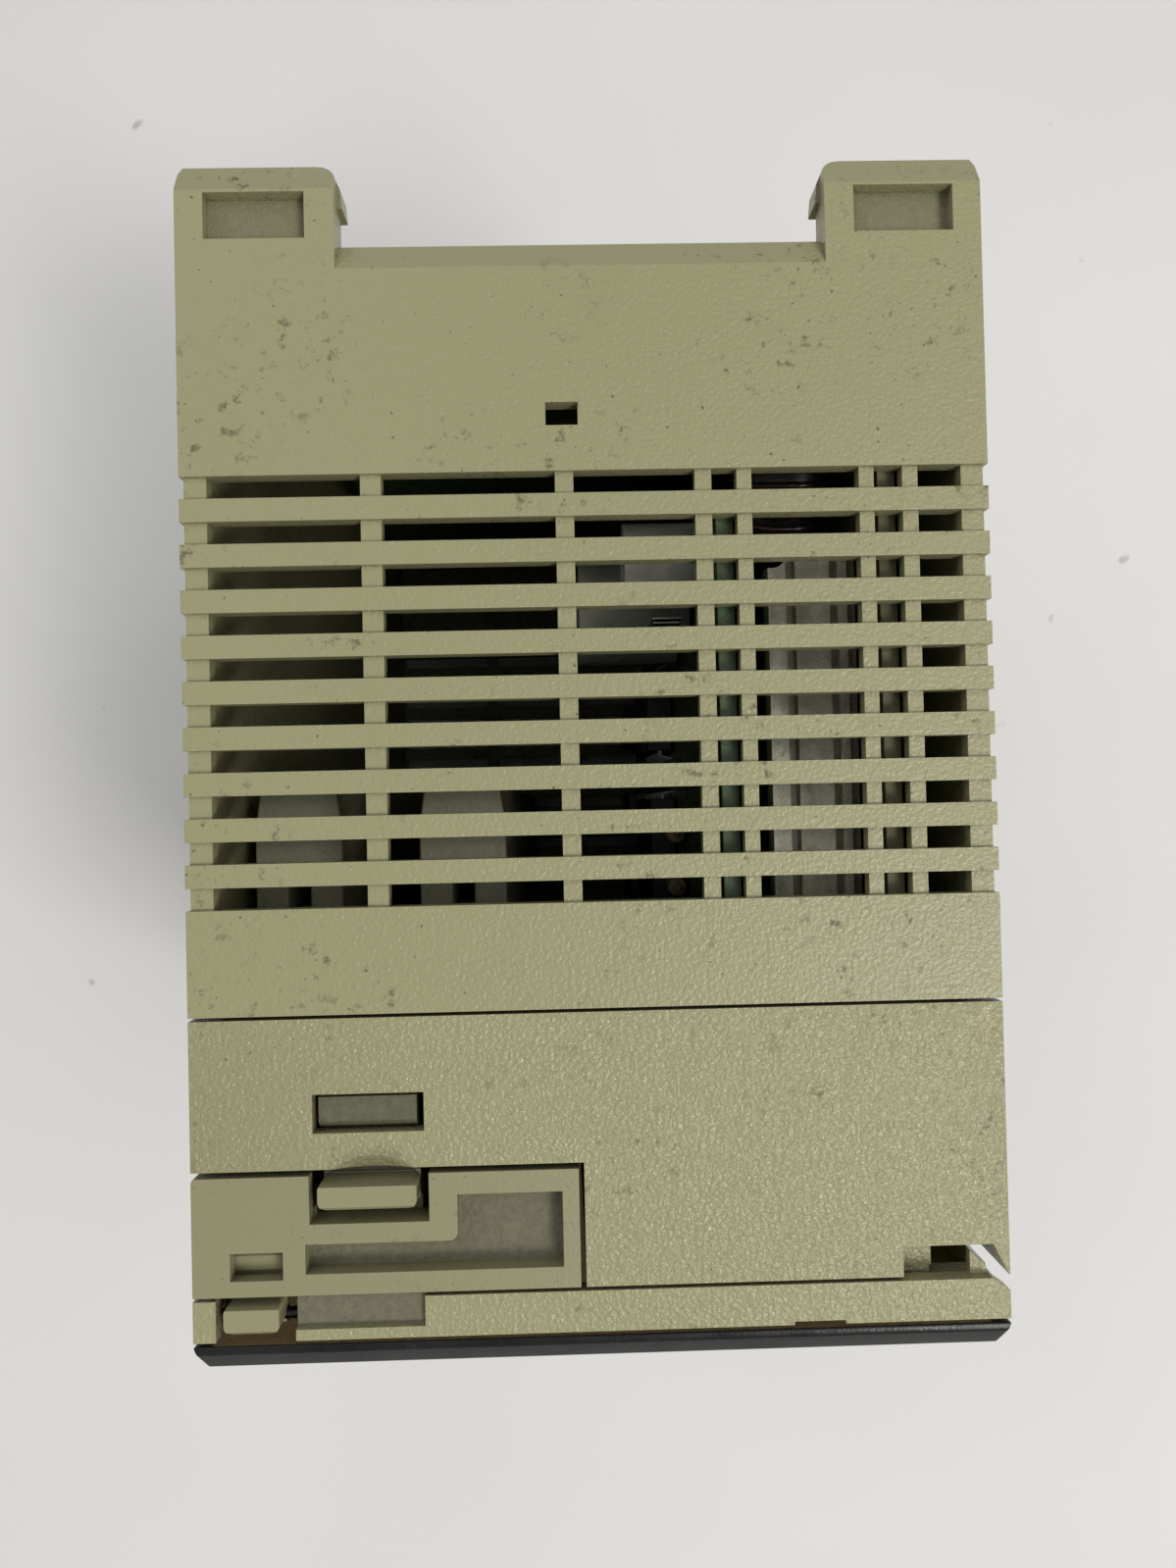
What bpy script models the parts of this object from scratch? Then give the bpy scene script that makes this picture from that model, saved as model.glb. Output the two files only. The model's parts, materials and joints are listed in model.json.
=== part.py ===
# Rack-mounted controller module: louvred rear housing, front case, port cover, smoked door, boards.
# Origin at the middle of the underside, +X right, +Y to the rear (backplane side), +Z up.
# Lengths below are millimetres and become metres when a mesh is made.

import math

import bpy
import bmesh
from mathutils import Matrix, Vector

MM = 0.001

# Driving dimensions
WIDTH = 70.0
DEPTH = 104.1
HEIGHT = 130.0
GAP = 0.3
WALL = 2.0
TAB_PROUD = 0.4

HALF_WIDTH = WIDTH / 2
REAR = DEPTH / 2
FRONT = -DEPTH / 2

# Rear housing
HOUSING_REAR = 44.8
REAR_BEVEL = 2.5
REAR_BEVEL_DROP = 1.5
HOUSING_FRONT = -21.95
LUG_INNER = 21.3
LUG_HEIGHT = 3.5
LUG_CORNER = 1.7
CATCH_HEIGHT = 4.6
SLOT_COUNT = 10
SLOT_PITCH = 3.93
SLOT_WIDTH = 1.93
FIRST_SLOT_REAR = 24.45
RIB_RECESS = 0.45
SLOT_INNER = 32.75
TOP_RIBS = [(-19.55, -17.75), (-2.7, -1.1), (9.45, 10.9), (13.1, 14.4), (23.8, 25.1), (27.6, 28.95)]
BOTTOM_RIBS = [(-17.0, -15.0), (-1.0, 1.0), (15.0, 17.0)]
CONNECTOR_HALF = 6.5
CONNECTOR_LOW = 42.0
CONNECTOR_HIGH = 98.0
BOSS_PLACES = [(-24.0, 28.0), (24.0, 28.0), (-24.0, 102.0), (24.0, 102.0)]

# Front case and port cover
CASE_REAR = HOUSING_FRONT - GAP
CASE_FRONT = -45.7
CASE_STEP = -35.1
CASE_STEP_X = -1.5
COVER_REAR = -35.6
COVER_RIGHT = -1.95
COVER_WALL = 1.6
LATCH_LEFT = -24.2
LATCH_RIGHT = -15.8
LATCH_PIVOT_Y = -40.6
LATCH_PIVOT_DROP = 5.0
LABEL_DEPTH = 2.2
LATCH_PIN_R = 0.6
PIN_PLAY = 0.15

# Door and its hinge
DOOR_REAR = CASE_FRONT - GAP
FRAME_FRONT = -49.5
WINDOW_REAR = FRAME_FRONT - GAP
FLANGE = 1.8
HINGE_X = 33.9
HINGE_Y = -47.6
HINGE_PIN_R = 0.45
LIP_REAR = FRAME_FRONT + 0.4
GROOVE_LEFT = 28.9
GROOVE_RIGHT = 33.6
GROOVE_REAR = -43.1
DOOR_LATCH_Y = -48.2
DOOR_PIN_R = 0.5
DOOR_LATCH_Z = HEIGHT - 2.8

# Boards
BOARD = 1.6
BOARD_TOP = HEIGHT - WALL - 0.4
MAIN_X = 11.4
POWER_X = 25.9
SINK_LEFT = 17.1
SINK_PLATE = 1.6
GUIDE_CENTRES = {"left": -27.3, "right": -12.05}
TERMINAL_COUNT = 5
TERMINAL_PITCH = 11.4
TERMINAL_LOW = 8.3

PALETTE = {
    "olive_plastic": ((0.46, 0.44, 0.33), 0.5, 0.0),
    "grey_plastic": ((0.36, 0.36, 0.31), 0.55, 0.0),
    "smoked_plastic": ((0.035, 0.025, 0.02), 0.15, 0.0),
    "black_plastic": ((0.02, 0.02, 0.022), 0.4, 0.0),
    "green_board": ((0.05, 0.16, 0.07), 0.4, 0.0),
    "brown_board": ((0.2, 0.13, 0.06), 0.6, 0.0),
    "aluminium": ((0.6, 0.6, 0.58), 0.45, 1.0),
    "steel": ((0.5, 0.5, 0.5), 0.35, 1.0),
    "white_sleeve": ((0.7, 0.7, 0.66), 0.35, 0.0),
    "ferrite": ((0.03, 0.03, 0.03), 0.3, 0.0),
    "battery_wrap": ((0.12, 0.2, 0.3), 0.4, 0.0),
    "clear_plastic": ((0.6, 0.55, 0.45), 0.15, 0.0),
}

# Where the two coordinates of an outline and the distance along its axis go
AXIS_ORDER = {
    "x": lambda u, v, w: (w, u, v),
    "y": lambda u, v, w: (u, w, v),
    "z": lambda u, v, w: (u, v, w),
}


def clear_scene():
    for old in list(bpy.data.objects):
        bpy.data.objects.remove(old, do_unlink=True)


def make_material(name):
    colour, roughness, metallic = PALETTE[name]
    mat = bpy.data.materials.get(name) or bpy.data.materials.new(name)
    mat.use_nodes = True
    shader = mat.node_tree.nodes["Principled BSDF"]
    shader.inputs["Base Color"].default_value = (*colour, 1.0)
    shader.inputs["Roughness"].default_value = roughness
    shader.inputs["Metallic"].default_value = metallic
    return mat


def add_block(mesh, low, high):
    """A box between two corners."""
    size = [high[i] - low[i] for i in range(3)]
    middle = [(high[i] + low[i]) / 2 * MM for i in range(3)]
    place = Matrix.Translation(middle) @ Matrix.Diagonal((*[s * MM for s in size], 1.0))
    bmesh.ops.create_cube(mesh, size=1.0, matrix=place)


def add_prism(mesh, outline, axis, low, high):
    """An outline in the plane across the axis, extruded from low to high along it."""
    order = AXIS_ORDER[axis]
    start = [mesh.verts.new(Vector(order(u, v, low)) * MM) for u, v in outline]
    base = mesh.faces.new(start)
    grown = bmesh.ops.extrude_face_region(mesh, geom=[base])
    moved = [item for item in grown["geom"] if isinstance(item, bmesh.types.BMVert)]
    bmesh.ops.translate(mesh, verts=moved, vec=Vector(order(0, 0, high - low)) * MM)


def add_rod(mesh, centre, axis, radius, low, high, sides=20):
    """A cylinder along an axis; centre holds the other two coordinates."""
    ring = [(centre[0] + radius * math.cos(2 * math.pi * i / sides),
             centre[1] + radius * math.sin(2 * math.pi * i / sides)) for i in range(sides)]
    add_prism(mesh, ring, axis, low, high)


def round_arc(centre, radius, start, end, steps):
    """Points of an arc, angles in degrees."""
    points = []
    for i in range(steps + 1):
        angle = math.radians(start + (end - start) * i / steps)
        points.append((centre[0] + radius * math.cos(angle), centre[1] + radius * math.sin(angle)))
    return points


def make_object(name, fill, material, pivot=(0.0, 0.0, 0.0), smooth=None):
    """An object whose mesh is drawn by fill(mesh), with its origin at the pivot."""
    mesh = bmesh.new()
    fill(mesh)
    bmesh.ops.recalc_face_normals(mesh, faces=mesh.faces[:])
    bmesh.ops.translate(mesh, verts=mesh.verts[:], vec=-Vector(pivot) * MM)
    data = bpy.data.meshes.new(name)
    mesh.to_mesh(data)
    mesh.free()
    if material:
        data.materials.append(make_material(material))
    if smooth:
        data.shade_smooth()
        data.set_sharp_from_angle(angle=math.radians(smooth))
    obj = bpy.data.objects.new(name, data)
    obj.location = Vector(pivot) * MM
    bpy.context.scene.collection.objects.link(obj)
    return obj


def shape(obj, operation, fill, label):
    """Cut from, or join to, an object the shape drawn by fill(mesh)."""
    tool = make_object(obj.name + "_" + label, fill, None)
    tool.display_type = "WIRE"
    tool.hide_render = True
    modifier = obj.modifiers.new(label, "BOOLEAN")
    modifier.operation = operation
    modifier.object = tool
    modifier.solver = "EXACT"


def cut(obj, fill, label):
    shape(obj, "DIFFERENCE", fill, label)


def join(obj, fill, label):
    shape(obj, "UNION", fill, label)


def blocks(*corners):
    """A fill function for a few separate boxes, each given as (low, high)."""
    def fill(mesh):
        for low, high in corners:
            add_block(mesh, low, high)
    return fill


def both_ends(low, high):
    """A box near the top and the same box mirrored to the bottom."""
    x0, y0, z0 = low
    x1, y1, z1 = high
    return [(low, high), ((x0, y0, HEIGHT - z1), (x1, y1, HEIGHT - z0))]


def slot_rows():
    for row in range(SLOT_COUNT):
        rear = FIRST_SLOT_REAR - row * SLOT_PITCH
        yield rear - SLOT_WIDTH, rear


def slot_cells(ribs):
    edges = [-SLOT_INNER]
    for left, right in ribs:
        edges += [left, right]
    edges.append(SLOT_INNER)
    return list(zip(edges[0::2], edges[1::2]))


# rear housing

def rear_housing():
    body = make_object("rear_housing", blocks(
        ((-HALF_WIDTH, HOUSING_FRONT, 0), (HALF_WIDTH, HOUSING_REAR, HEIGHT))), "olive_plastic")
    inner = HALF_WIDTH - WALL
    cut(body, blocks(((-inner, HOUSING_FRONT - 1, WALL), (inner, HOUSING_REAR - WALL, HEIGHT - WALL))),
        "hollow")

    def rear_bevels(mesh):
        for z, step in ((HEIGHT, -1), (0, 1)):
            start = HOUSING_REAR - REAR_BEVEL
            low = z + step * REAR_BEVEL_DROP
            add_prism(mesh, [(start, z - step * 0.3), (start, z), (HOUSING_REAR, low),
                             (HOUSING_REAR + 0.4, low), (HOUSING_REAR + 0.4, z - step * 0.3)],
                      "x", -LUG_INNER, LUG_INNER)
    cut(body, rear_bevels, "rear_bevels")

    def lugs(mesh):
        for side in (-1, 1):
            inner_corner = round_arc((LUG_INNER + LUG_CORNER, REAR - LUG_CORNER), LUG_CORNER, 90, 180, 5)
            outline = [(LUG_INNER, 42.0), (HALF_WIDTH, 42.0), (HALF_WIDTH, REAR - 0.8),
                       (HALF_WIDTH - 0.3, REAR)] + inner_corner
            outline = [(side * x, y) for x, y in outline]
            for low in (0, HEIGHT - LUG_HEIGHT):
                add_prism(mesh, outline, "z", low, low + LUG_HEIGHT)
    join(body, lugs, "lugs")

    def lug_bevels(mesh):
        for z, step in ((HEIGHT, -1), (0, 1)):
            add_prism(mesh, [(49.3, z - step * 0.3), (49.3, z), (REAR + 0.2, z + step * 1.8),
                             (REAR + 0.2, z - step * 0.3)], "x", -HALF_WIDTH - 1, HALF_WIDTH + 1)
    cut(body, lug_bevels, "lug_bevels")

    def catches(mesh):
        for side in (-1, 1):
            outline = [(side * x, y) for x, y in ((LUG_INNER + 0.8, 51.1), (LUG_INNER + 0.2, 51.1),
                                                  (LUG_INNER - 0.3, 50.0), (LUG_INNER - 0.45, 48.3),
                                                  (LUG_INNER + 0.8, 48.3))]
            for low in (1.6, HEIGHT - CATCH_HEIGHT):
                add_prism(mesh, outline, "z", low, low + CATCH_HEIGHT - 1.6)
    join(body, catches, "catches")

    pockets = []
    for side in (-1, 1):
        x0, x1 = sorted((side * 23.85, side * 32.55))
        pockets += both_ends((x0, 45.0, HEIGHT - 1.6), (x1, 49.05, HEIGHT + 1))
    cut(body, blocks(*pockets), "lug_pockets")

    def slot_reliefs(mesh):
        low = HEIGHT - RIB_RECESS
        edge = HALF_WIDTH - 0.3
        outside = HALF_WIDTH + 1
        for y0, y1 in slot_rows():
            add_prism(mesh, [(-outside, low - 3), (-edge, low - 3), (-edge, low), (edge, low),
                             (edge, low - 3),
                             (outside, low - 3), (outside, HEIGHT + 1), (-outside,
                                                                         HEIGHT + 1)], "y", y0, y1)
    cut(body, slot_reliefs, "slot_reliefs")

    top_slots = [((x0, y0, HEIGHT - WALL - 1), (x1, y1, HEIGHT + 1))
                 for y0, y1 in slot_rows() for x0, x1 in slot_cells(TOP_RIBS)]
    cut(body, blocks(*top_slots), "top_slots")
    bottom_slots = [((x0, y0, -1), (x1, y1, WALL + 1)) for y0, y1 in slot_rows() for x0,
                    x1 in slot_cells(BOTTOM_RIBS)]
    cut(body, blocks(*bottom_slots), "bottom_slots")
    cut(body, blocks(
        ((-3.4, 28.4, HEIGHT - WALL - 1), (-0.6, 30.4, HEIGHT + 1)),
        ((-CONNECTOR_HALF - GAP, HOUSING_REAR - WALL - 1, CONNECTOR_LOW - GAP),
         (CONNECTOR_HALF + GAP, HOUSING_REAR + 1, CONNECTOR_HIGH + GAP))), "openings")

    def bosses(mesh):
        for place in BOSS_PLACES:
            add_rod(mesh, place, "y", 3.0, 39.9, HOUSING_REAR - WALL / 2, 16)
    join(body, bosses, "bosses")

    def pilot_holes(mesh):
        for place in BOSS_PLACES:
            add_rod(mesh, place, "y", 1.5, 39.0, 43.2, 16)
    cut(body, pilot_holes, "pilot_holes")


# front case

def front_case():
    outline = [(-HALF_WIDTH, CASE_REAR), (-HALF_WIDTH, CASE_STEP), (CASE_STEP_X, CASE_STEP),
               (CASE_STEP_X, CASE_FRONT),
               (GROOVE_LEFT, CASE_FRONT), (GROOVE_LEFT, GROOVE_REAR), (GROOVE_RIGHT, GROOVE_REAR),
               (HALF_WIDTH - 0.1, CASE_FRONT - 0.05), (HALF_WIDTH, CASE_FRONT + 0.1), (HALF_WIDTH,
                                                                                       CASE_REAR)]
    case = make_object("front_case", lambda mesh: add_prism(mesh, outline, "z", 0, HEIGHT), "olive_plastic")
    tongue = HALF_WIDTH - WALL - GAP
    join(case, blocks(((-tongue, CASE_REAR - 2, WALL + GAP),
                       (tongue, CASE_REAR + 3, HEIGHT - WALL - GAP))), "tongue")
    neck = tongue - 1.5
    cut(case, blocks(((-neck, CASE_REAR - 4.5, WALL + GAP + 1.5),
                      (neck, CASE_REAR + 4, HEIGHT - WALL - GAP - 1.5))), "neck")
    inner = HALF_WIDTH - WALL
    hollow = [(-inner, -26.0), (-inner, CASE_STEP + WALL), (CASE_STEP_X + WALL, CASE_STEP + WALL),
              (CASE_STEP_X + WALL, CASE_FRONT + WALL), (24.0, CASE_FRONT + WALL), (24.0,
                                                                                   GROOVE_REAR + WALL),
              (inner, GROOVE_REAR + WALL), (inner, -26.0)]
    cut(case, lambda mesh: add_prism(mesh, hollow, "z", WALL, HEIGHT - WALL), "hollow")

    def ears(mesh):
        reach = HINGE_PIN_R + 0.45
        outline_ear = [(25.5, CASE_FRONT + 0.6), (25.5, HINGE_Y - reach)]
        outline_ear += round_arc((HINGE_X, HINGE_Y), reach, -90, 90, 8)
        outline_ear += [(GROOVE_LEFT - 0.2, HINGE_Y + reach), (GROOVE_LEFT - 0.2, CASE_FRONT + 0.6)]
        for low in (2.4, HEIGHT - 5.5):
            add_prism(mesh, outline_ear, "z", low, low + 3.1)
    join(case, ears, "ears")

    def hinge_holes(mesh):
        for low in (1.0, HEIGHT - 6.5):
            add_rod(mesh, (HINGE_X, HINGE_Y), "z", HINGE_PIN_R + PIN_PLAY, low, low + 5.5, 16)
    cut(case, hinge_holes, "hinge_holes")

    windows = both_ends((-24.6, -32.0, HEIGHT - 3), (-15.1, -28.7, HEIGHT + 1))
    arms = both_ends((-25.2, CASE_STEP - 1, HEIGHT - 8.5), (-14.8, CASE_STEP + WALL + 1, HEIGHT - 2.1))
    notches = both_ends((25.8, CASE_FRONT - 1, HEIGHT - 2.5), (GROOVE_LEFT + 1, GROOVE_REAR, HEIGHT + 1))
    cut(case, blocks(*windows, *arms, *notches), "latch_openings")
    cut(case, blocks(
        ((3.0, CASE_FRONT - 1, 117.0), (23.7, CASE_FRONT + WALL + 1, 123.0)),
        ((4.0, CASE_FRONT - 1, 101.0), (8.0, CASE_FRONT + WALL + 1, 111.0)),
        ((12.5, CASE_FRONT - 1, 84.0), (22.5, CASE_FRONT + WALL + 1, 105.0)),
        ((1.0, CASE_FRONT - 1, 8.0), (23.7, CASE_FRONT + WALL + 1, 66.0)),
        ((-25.5, CASE_STEP - 1, 70.5), (-10.5, CASE_STEP + WALL + 1, 85.5)),
        ((-25.6, CASE_STEP - 1, 14.0), (-13.4, CASE_STEP + WALL + 1, 52.0))), "front_openings")

    def thumb_scoop(mesh):
        place = Matrix.Translation(Vector((-19.55, -39.67, HEIGHT + 6.9)) * MM)
        bmesh.ops.create_uvsphere(mesh, u_segments=40, v_segments=20, radius=9.0 * MM, matrix=place)
    cut(case, thumb_scoop, "thumb_scoop")


# port cover and its latches

def port_cover():
    outline = [(-HALF_WIDTH + 0.2, COVER_REAR), (-HALF_WIDTH, COVER_REAR - 0.3), (-HALF_WIDTH, CASE_FRONT),
               (COVER_RIGHT, CASE_FRONT), (COVER_RIGHT, COVER_REAR)]
    cover = make_object("port_cover", lambda mesh: add_prism(mesh, outline, "z", 0, HEIGHT),
                        "olive_plastic")
    cut(cover, blocks(((-HALF_WIDTH + COVER_WALL, CASE_FRONT + COVER_WALL, COVER_WALL),
                       (COVER_RIGHT - COVER_WALL, COVER_REAR + 1, HEIGHT - COVER_WALL))), "hollow")
    front_inside = CASE_FRONT + COVER_WALL - 0.2
    low = HEIGHT - 13.2
    cheeks = both_ends((-26.3, front_inside, low), (-24.9, -38.9, HEIGHT - COVER_WALL + 0.2))
    cheeks += both_ends((-14.6, front_inside, low), (-12.8, -38.9, HEIGHT - COVER_WALL + 0.2))
    join(cover, blocks(*cheeks), "cheeks")

    def label_floor(mesh):
        floor_outline = [(-26.2, -44.9), (-2.6, -44.9), (-2.6, -36.7), (-13.4, -36.7), (-13.4, -39.7),
                         (-26.2, -39.7)]
        add_prism(mesh, floor_outline, "z", HEIGHT - LABEL_DEPTH - 1.2, HEIGHT - COVER_WALL + 0.2)
    join(cover, label_floor, "label_floor")
    join(cover, blocks(*both_ends((-26.0, front_inside, low + 0.1), (-14.0, -36.2, low + 1.2))),
         "spring_shelves")

    def pin_holes(mesh):
        for z in (LATCH_PIVOT_DROP, HEIGHT - LATCH_PIVOT_DROP):
            add_rod(mesh, (LATCH_PIVOT_Y, z), "x", LATCH_PIN_R + PIN_PLAY, -26.0, -13.1, 16)
    cut(cover, pin_holes, "pin_holes")
    cut(cover, blocks(*both_ends((-25.0, -39.7, HEIGHT - COVER_WALL - 0.8),
                                 (-14.8, COVER_REAR + 1, HEIGHT + 1)),
                      ((-31.8, -44.35, HEIGHT - COVER_WALL - 1),
                       (-27.3, -42.0, HEIGHT + 1))), "top_openings")
    cut(cover, blocks(((-33.0, CASE_FRONT - 1, HEIGHT - 6.5),
                       (-26.3, CASE_FRONT + COVER_WALL + 0.3, HEIGHT - COVER_WALL))), "latch_passage")

    def label_recess(mesh):
        corner = round_arc((-13.1, -40.7), 0.7, 270, 360, 4)
        corner_outline = [(-25.4, -43.9), (-3.4, -43.9), (-3.4, -37.5), (-12.4, -37.5)] + corner[::-1]
        corner_outline += [(-25.4, -41.4)]
        add_prism(mesh, corner_outline, "z", HEIGHT - LABEL_DEPTH, HEIGHT + 1)
    cut(cover, label_recess, "label_recess")
    cut(cover, blocks(((-31.0, CASE_FRONT - 1, 16.0), (-6.0, CASE_FRONT + 0.5, 112.0))), "front_recess")


def latch_profile(mesh, up):
    """Side profile of a cover latch: knuckle, arm, tab and hook; up is 1 at the top, -1 at the bottom."""
    base = HEIGHT if up > 0 else 0.0
    proud = TAB_PROUD if up > 0 else -GAP

    def height(drop):
        return base - up * drop

    pivot = (LATCH_PIVOT_Y, height(LATCH_PIVOT_DROP))
    knuckle = round_arc(pivot, 1.2, 90, 270, 8)
    if up < 0:
        knuckle = knuckle[::-1]
    points = knuckle + [(-36.5, height(5.2)), (-28.9, height(4.5)), (-28.9, height(2.7))]
    points += [(-29.1, height(0.8)), (-31.2, height(0.8)), (-31.7, height(1.3)), (-31.7, height(2.7))]
    points += [(-36.0, height(2.7)), (-36.0, height(-proud + 0.4)), (-36.3, height(-proud)),
               (-38.2, height(-proud))]
    points += [(-38.5, height(-proud + 0.4)), (-38.5, height(3.9))]
    add_prism(mesh, points, "x", LATCH_LEFT, LATCH_RIGHT)


def cover_latches():
    for name, up in (("top", 1), ("bottom", -1)):
        z = HEIGHT - LATCH_PIVOT_DROP if up > 0 else LATCH_PIVOT_DROP
        pivot = ((LATCH_LEFT + LATCH_RIGHT) / 2, LATCH_PIVOT_Y, z)
        lever = make_object("cover_latch_" + name, lambda mesh, up=up: latch_profile(mesh, up),
                            "olive_plastic", pivot)
        cut(lever, lambda mesh, z=z: add_rod(mesh, (LATCH_PIVOT_Y, z), "x", LATCH_PIN_R + PIN_PLAY,
                                             LATCH_LEFT - 1, LATCH_RIGHT + 1, 16), "pin_hole_" + name)
        make_object("cover_latch_pin_" + name, lambda mesh, z=z: add_rod(
            mesh, (LATCH_PIVOT_Y, z), "x", LATCH_PIN_R, -25.8, -13.3, 16), "steel", smooth=40)
        low, high = (HEIGHT - 11.7, HEIGHT - 6.3) if up > 0 else (6.3, 11.7)
        coil_spring("cover_latch_spring_" + name, (-20.0, -38.0), low, high, 1.4, 0.22, 4)


def coil_spring(name, centre, low, high, radius, wire, turns):
    """A compression spring along Z, its wire swept along a helix."""
    data = bpy.data.curves.new(name, "CURVE")
    data.dimensions = "3D"
    data.bevel_depth = wire * MM
    data.bevel_resolution = 1
    data.use_fill_caps = True
    steps = 12 * turns
    spline = data.splines.new("POLY")
    spline.points.add(steps)
    for i, point in enumerate(spline.points):
        angle = 2 * math.pi * turns * i / steps
        z = low + wire + (high - low - 2 * wire) * i / steps
        place = Vector((centre[0] + radius * math.cos(angle), centre[1] + radius * math.sin(angle), z)) * MM
        point.co = (*place, 1.0)
    data.materials.append(make_material("steel"))
    obj = bpy.data.objects.new(name, data)
    bpy.context.scene.collection.objects.link(obj)


# door

def door():
    hinge = bpy.data.objects.new("door_hinge_axis", None)
    hinge.location = Vector((HINGE_X, HINGE_Y, HEIGHT / 2)) * MM
    bpy.context.scene.collection.objects.link(hinge)

    outline = [(-HALF_WIDTH, DOOR_REAR), (33.5, DOOR_REAR), (HALF_WIDTH, -47.1), (HALF_WIDTH, FRAME_FRONT),
               (-HALF_WIDTH, FRAME_FRONT)]
    frame = make_object("door_frame", lambda mesh: add_prism(mesh, outline, "z", 0, HEIGHT),
                        "olive_plastic")
    cut(frame, blocks(((-33.8, LIP_REAR, FLANGE), (34.0, -43.0, HEIGHT - FLANGE))), "hollow")
    cut(frame, blocks(((-31.0, -50.0, 5.0), (31.0, -48.0, HEIGHT - 5.0))), "pane_opening")
    cut(frame, blocks(*both_ends((33.0, LIP_REAR, HEIGHT - 6.2), (36.0, -45.0, HEIGHT - FLANGE))),
        "hinge_notches")

    def corner_wedges(mesh):
        for low in (1.2, HEIGHT - 2.2):
            add_prism(mesh, [(31.9, DOOR_REAR - 0.4), (31.9, -44.0), (33.3, -45.35),
                             (33.4, DOOR_REAR - 0.4)], "z",
                      low, low + 1.0)
    join(frame, corner_wedges, "corner_wedges")
    join(frame, blocks(((-26.4, FRAME_FRONT, HEIGHT - 5.5), (-25.2, DOOR_REAR - 0.3,
                                                             HEIGHT - FLANGE + 0.2))), "cheek")
    cut(frame, lambda mesh: add_rod(mesh, (DOOR_LATCH_Y, DOOR_LATCH_Z), "x", DOOR_PIN_R + PIN_PLAY, -34.6,
                                    -24.0, 16),
        "latch_pin_hole")
    cut(frame, blocks(((-33.05, -50.0, HEIGHT - 4.2), (-26.3, -45.0, HEIGHT + 1))), "tab_notch")
    cut(frame, blocks(((-27.0, -48.55, HEIGHT - 0.75), (-15.3, -45.0, HEIGHT + 1)),
                      ((16.3, -50.0, HEIGHT - 0.8), (20.7, -49.2, HEIGHT + 1)),
                      ((3.0, -48.3, -1.0), (22.0, -45.0, FLANGE + 1))), "flange_details")

    def hinge_holes(mesh):
        for low in (0.8, HEIGHT - 2.8):
            add_rod(mesh, (HINGE_X, HINGE_Y), "z", HINGE_PIN_R + PIN_PLAY, low, low + 2.0, 16)
    cut(frame, hinge_holes, "hinge_holes")

    for name, low in (("lower", 1.0), ("upper", HEIGHT - 5.2)):
        make_object(name + "_hinge_pin", lambda mesh, low=low: add_rod(
            mesh, (HINGE_X, HINGE_Y), "z", HINGE_PIN_R, low, low + 4.2, 16), "steel", smooth=40)

    corner = HALF_WIDTH - 0.9
    pane_outline = [(-HALF_WIDTH, WINDOW_REAR), (HALF_WIDTH, WINDOW_REAR), (HALF_WIDTH, WINDOW_REAR - 0.2),
                    (corner, FRONT), (-corner, FRONT), (-HALF_WIDTH, WINDOW_REAR - 0.2)]
    pane = make_object("door_window", lambda mesh: add_prism(mesh, pane_outline, "z", 0, HEIGHT),
                       "smoked_plastic")

    def pane_bevels(mesh):
        for z, step in ((HEIGHT, -1), (0, 1)):
            add_prism(mesh, [(FRONT - 0.4, z - step * 0.3), (-50.45, z - step * 0.3), (-50.45, z),
                             (FRONT, z + step * 1.3),
                             (FRONT - 0.4, z + step * 1.3)], "x", -HALF_WIDTH - 1, HALF_WIDTH + 1)
    cut(pane, pane_bevels, "bevels")
    for part in (frame, pane):
        part.parent = hinge
        part.matrix_parent_inverse = Matrix.Translation(-hinge.location)


def door_latch():
    top = HEIGHT + TAB_PROUD

    def lever(mesh):
        points = round_arc((DOOR_LATCH_Y, DOOR_LATCH_Z), 0.95, 180, 300, 6)
        points += [(-46.4, HEIGHT - 4.2), (-42.3, HEIGHT - 4.2), (-42.3, HEIGHT - 2.6),
                   (-42.9, HEIGHT - 1.95),
                   (-44.1, HEIGHT - 1.95), (-44.1, HEIGHT - 2.6), (-46.2, HEIGHT - 2.6), (-46.2, top - 0.4),
                   (-46.5, top), (-48.45, top), (-48.75, top - 0.4), (-48.75, HEIGHT - 2.3)]
        add_prism(mesh, points, "x", -32.3, -27.6)
    pivot = (-29.55, DOOR_LATCH_Y, DOOR_LATCH_Z)
    latch = make_object("door_latch", lever, "olive_plastic", pivot)
    cut(latch, lambda mesh: add_rod(mesh, (DOOR_LATCH_Y, DOOR_LATCH_Z), "x", DOOR_PIN_R + PIN_PLAY, -34.0,
                                    -25.0, 16),
        "pin_hole")
    make_object("door_latch_pin", lambda mesh: add_rod(
        mesh, (DOOR_LATCH_Y, DOOR_LATCH_Z), "x", DOOR_PIN_R, -34.45, -25.4, 16), "steel", smooth=40)


# boards and what they carry

def standing_board(mesh, x, front, rear):
    """A board on edge along the depth, its top stepped down where it passes under the front case."""
    step = HOUSING_FRONT + 4.0
    outline = [(front, 6.0), (rear, 6.0), (rear, BOARD_TOP), (step, BOARD_TOP), (step, 124.0), (front, 124.0)]
    add_prism(mesh, outline, "x", x, x + BOARD)


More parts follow.
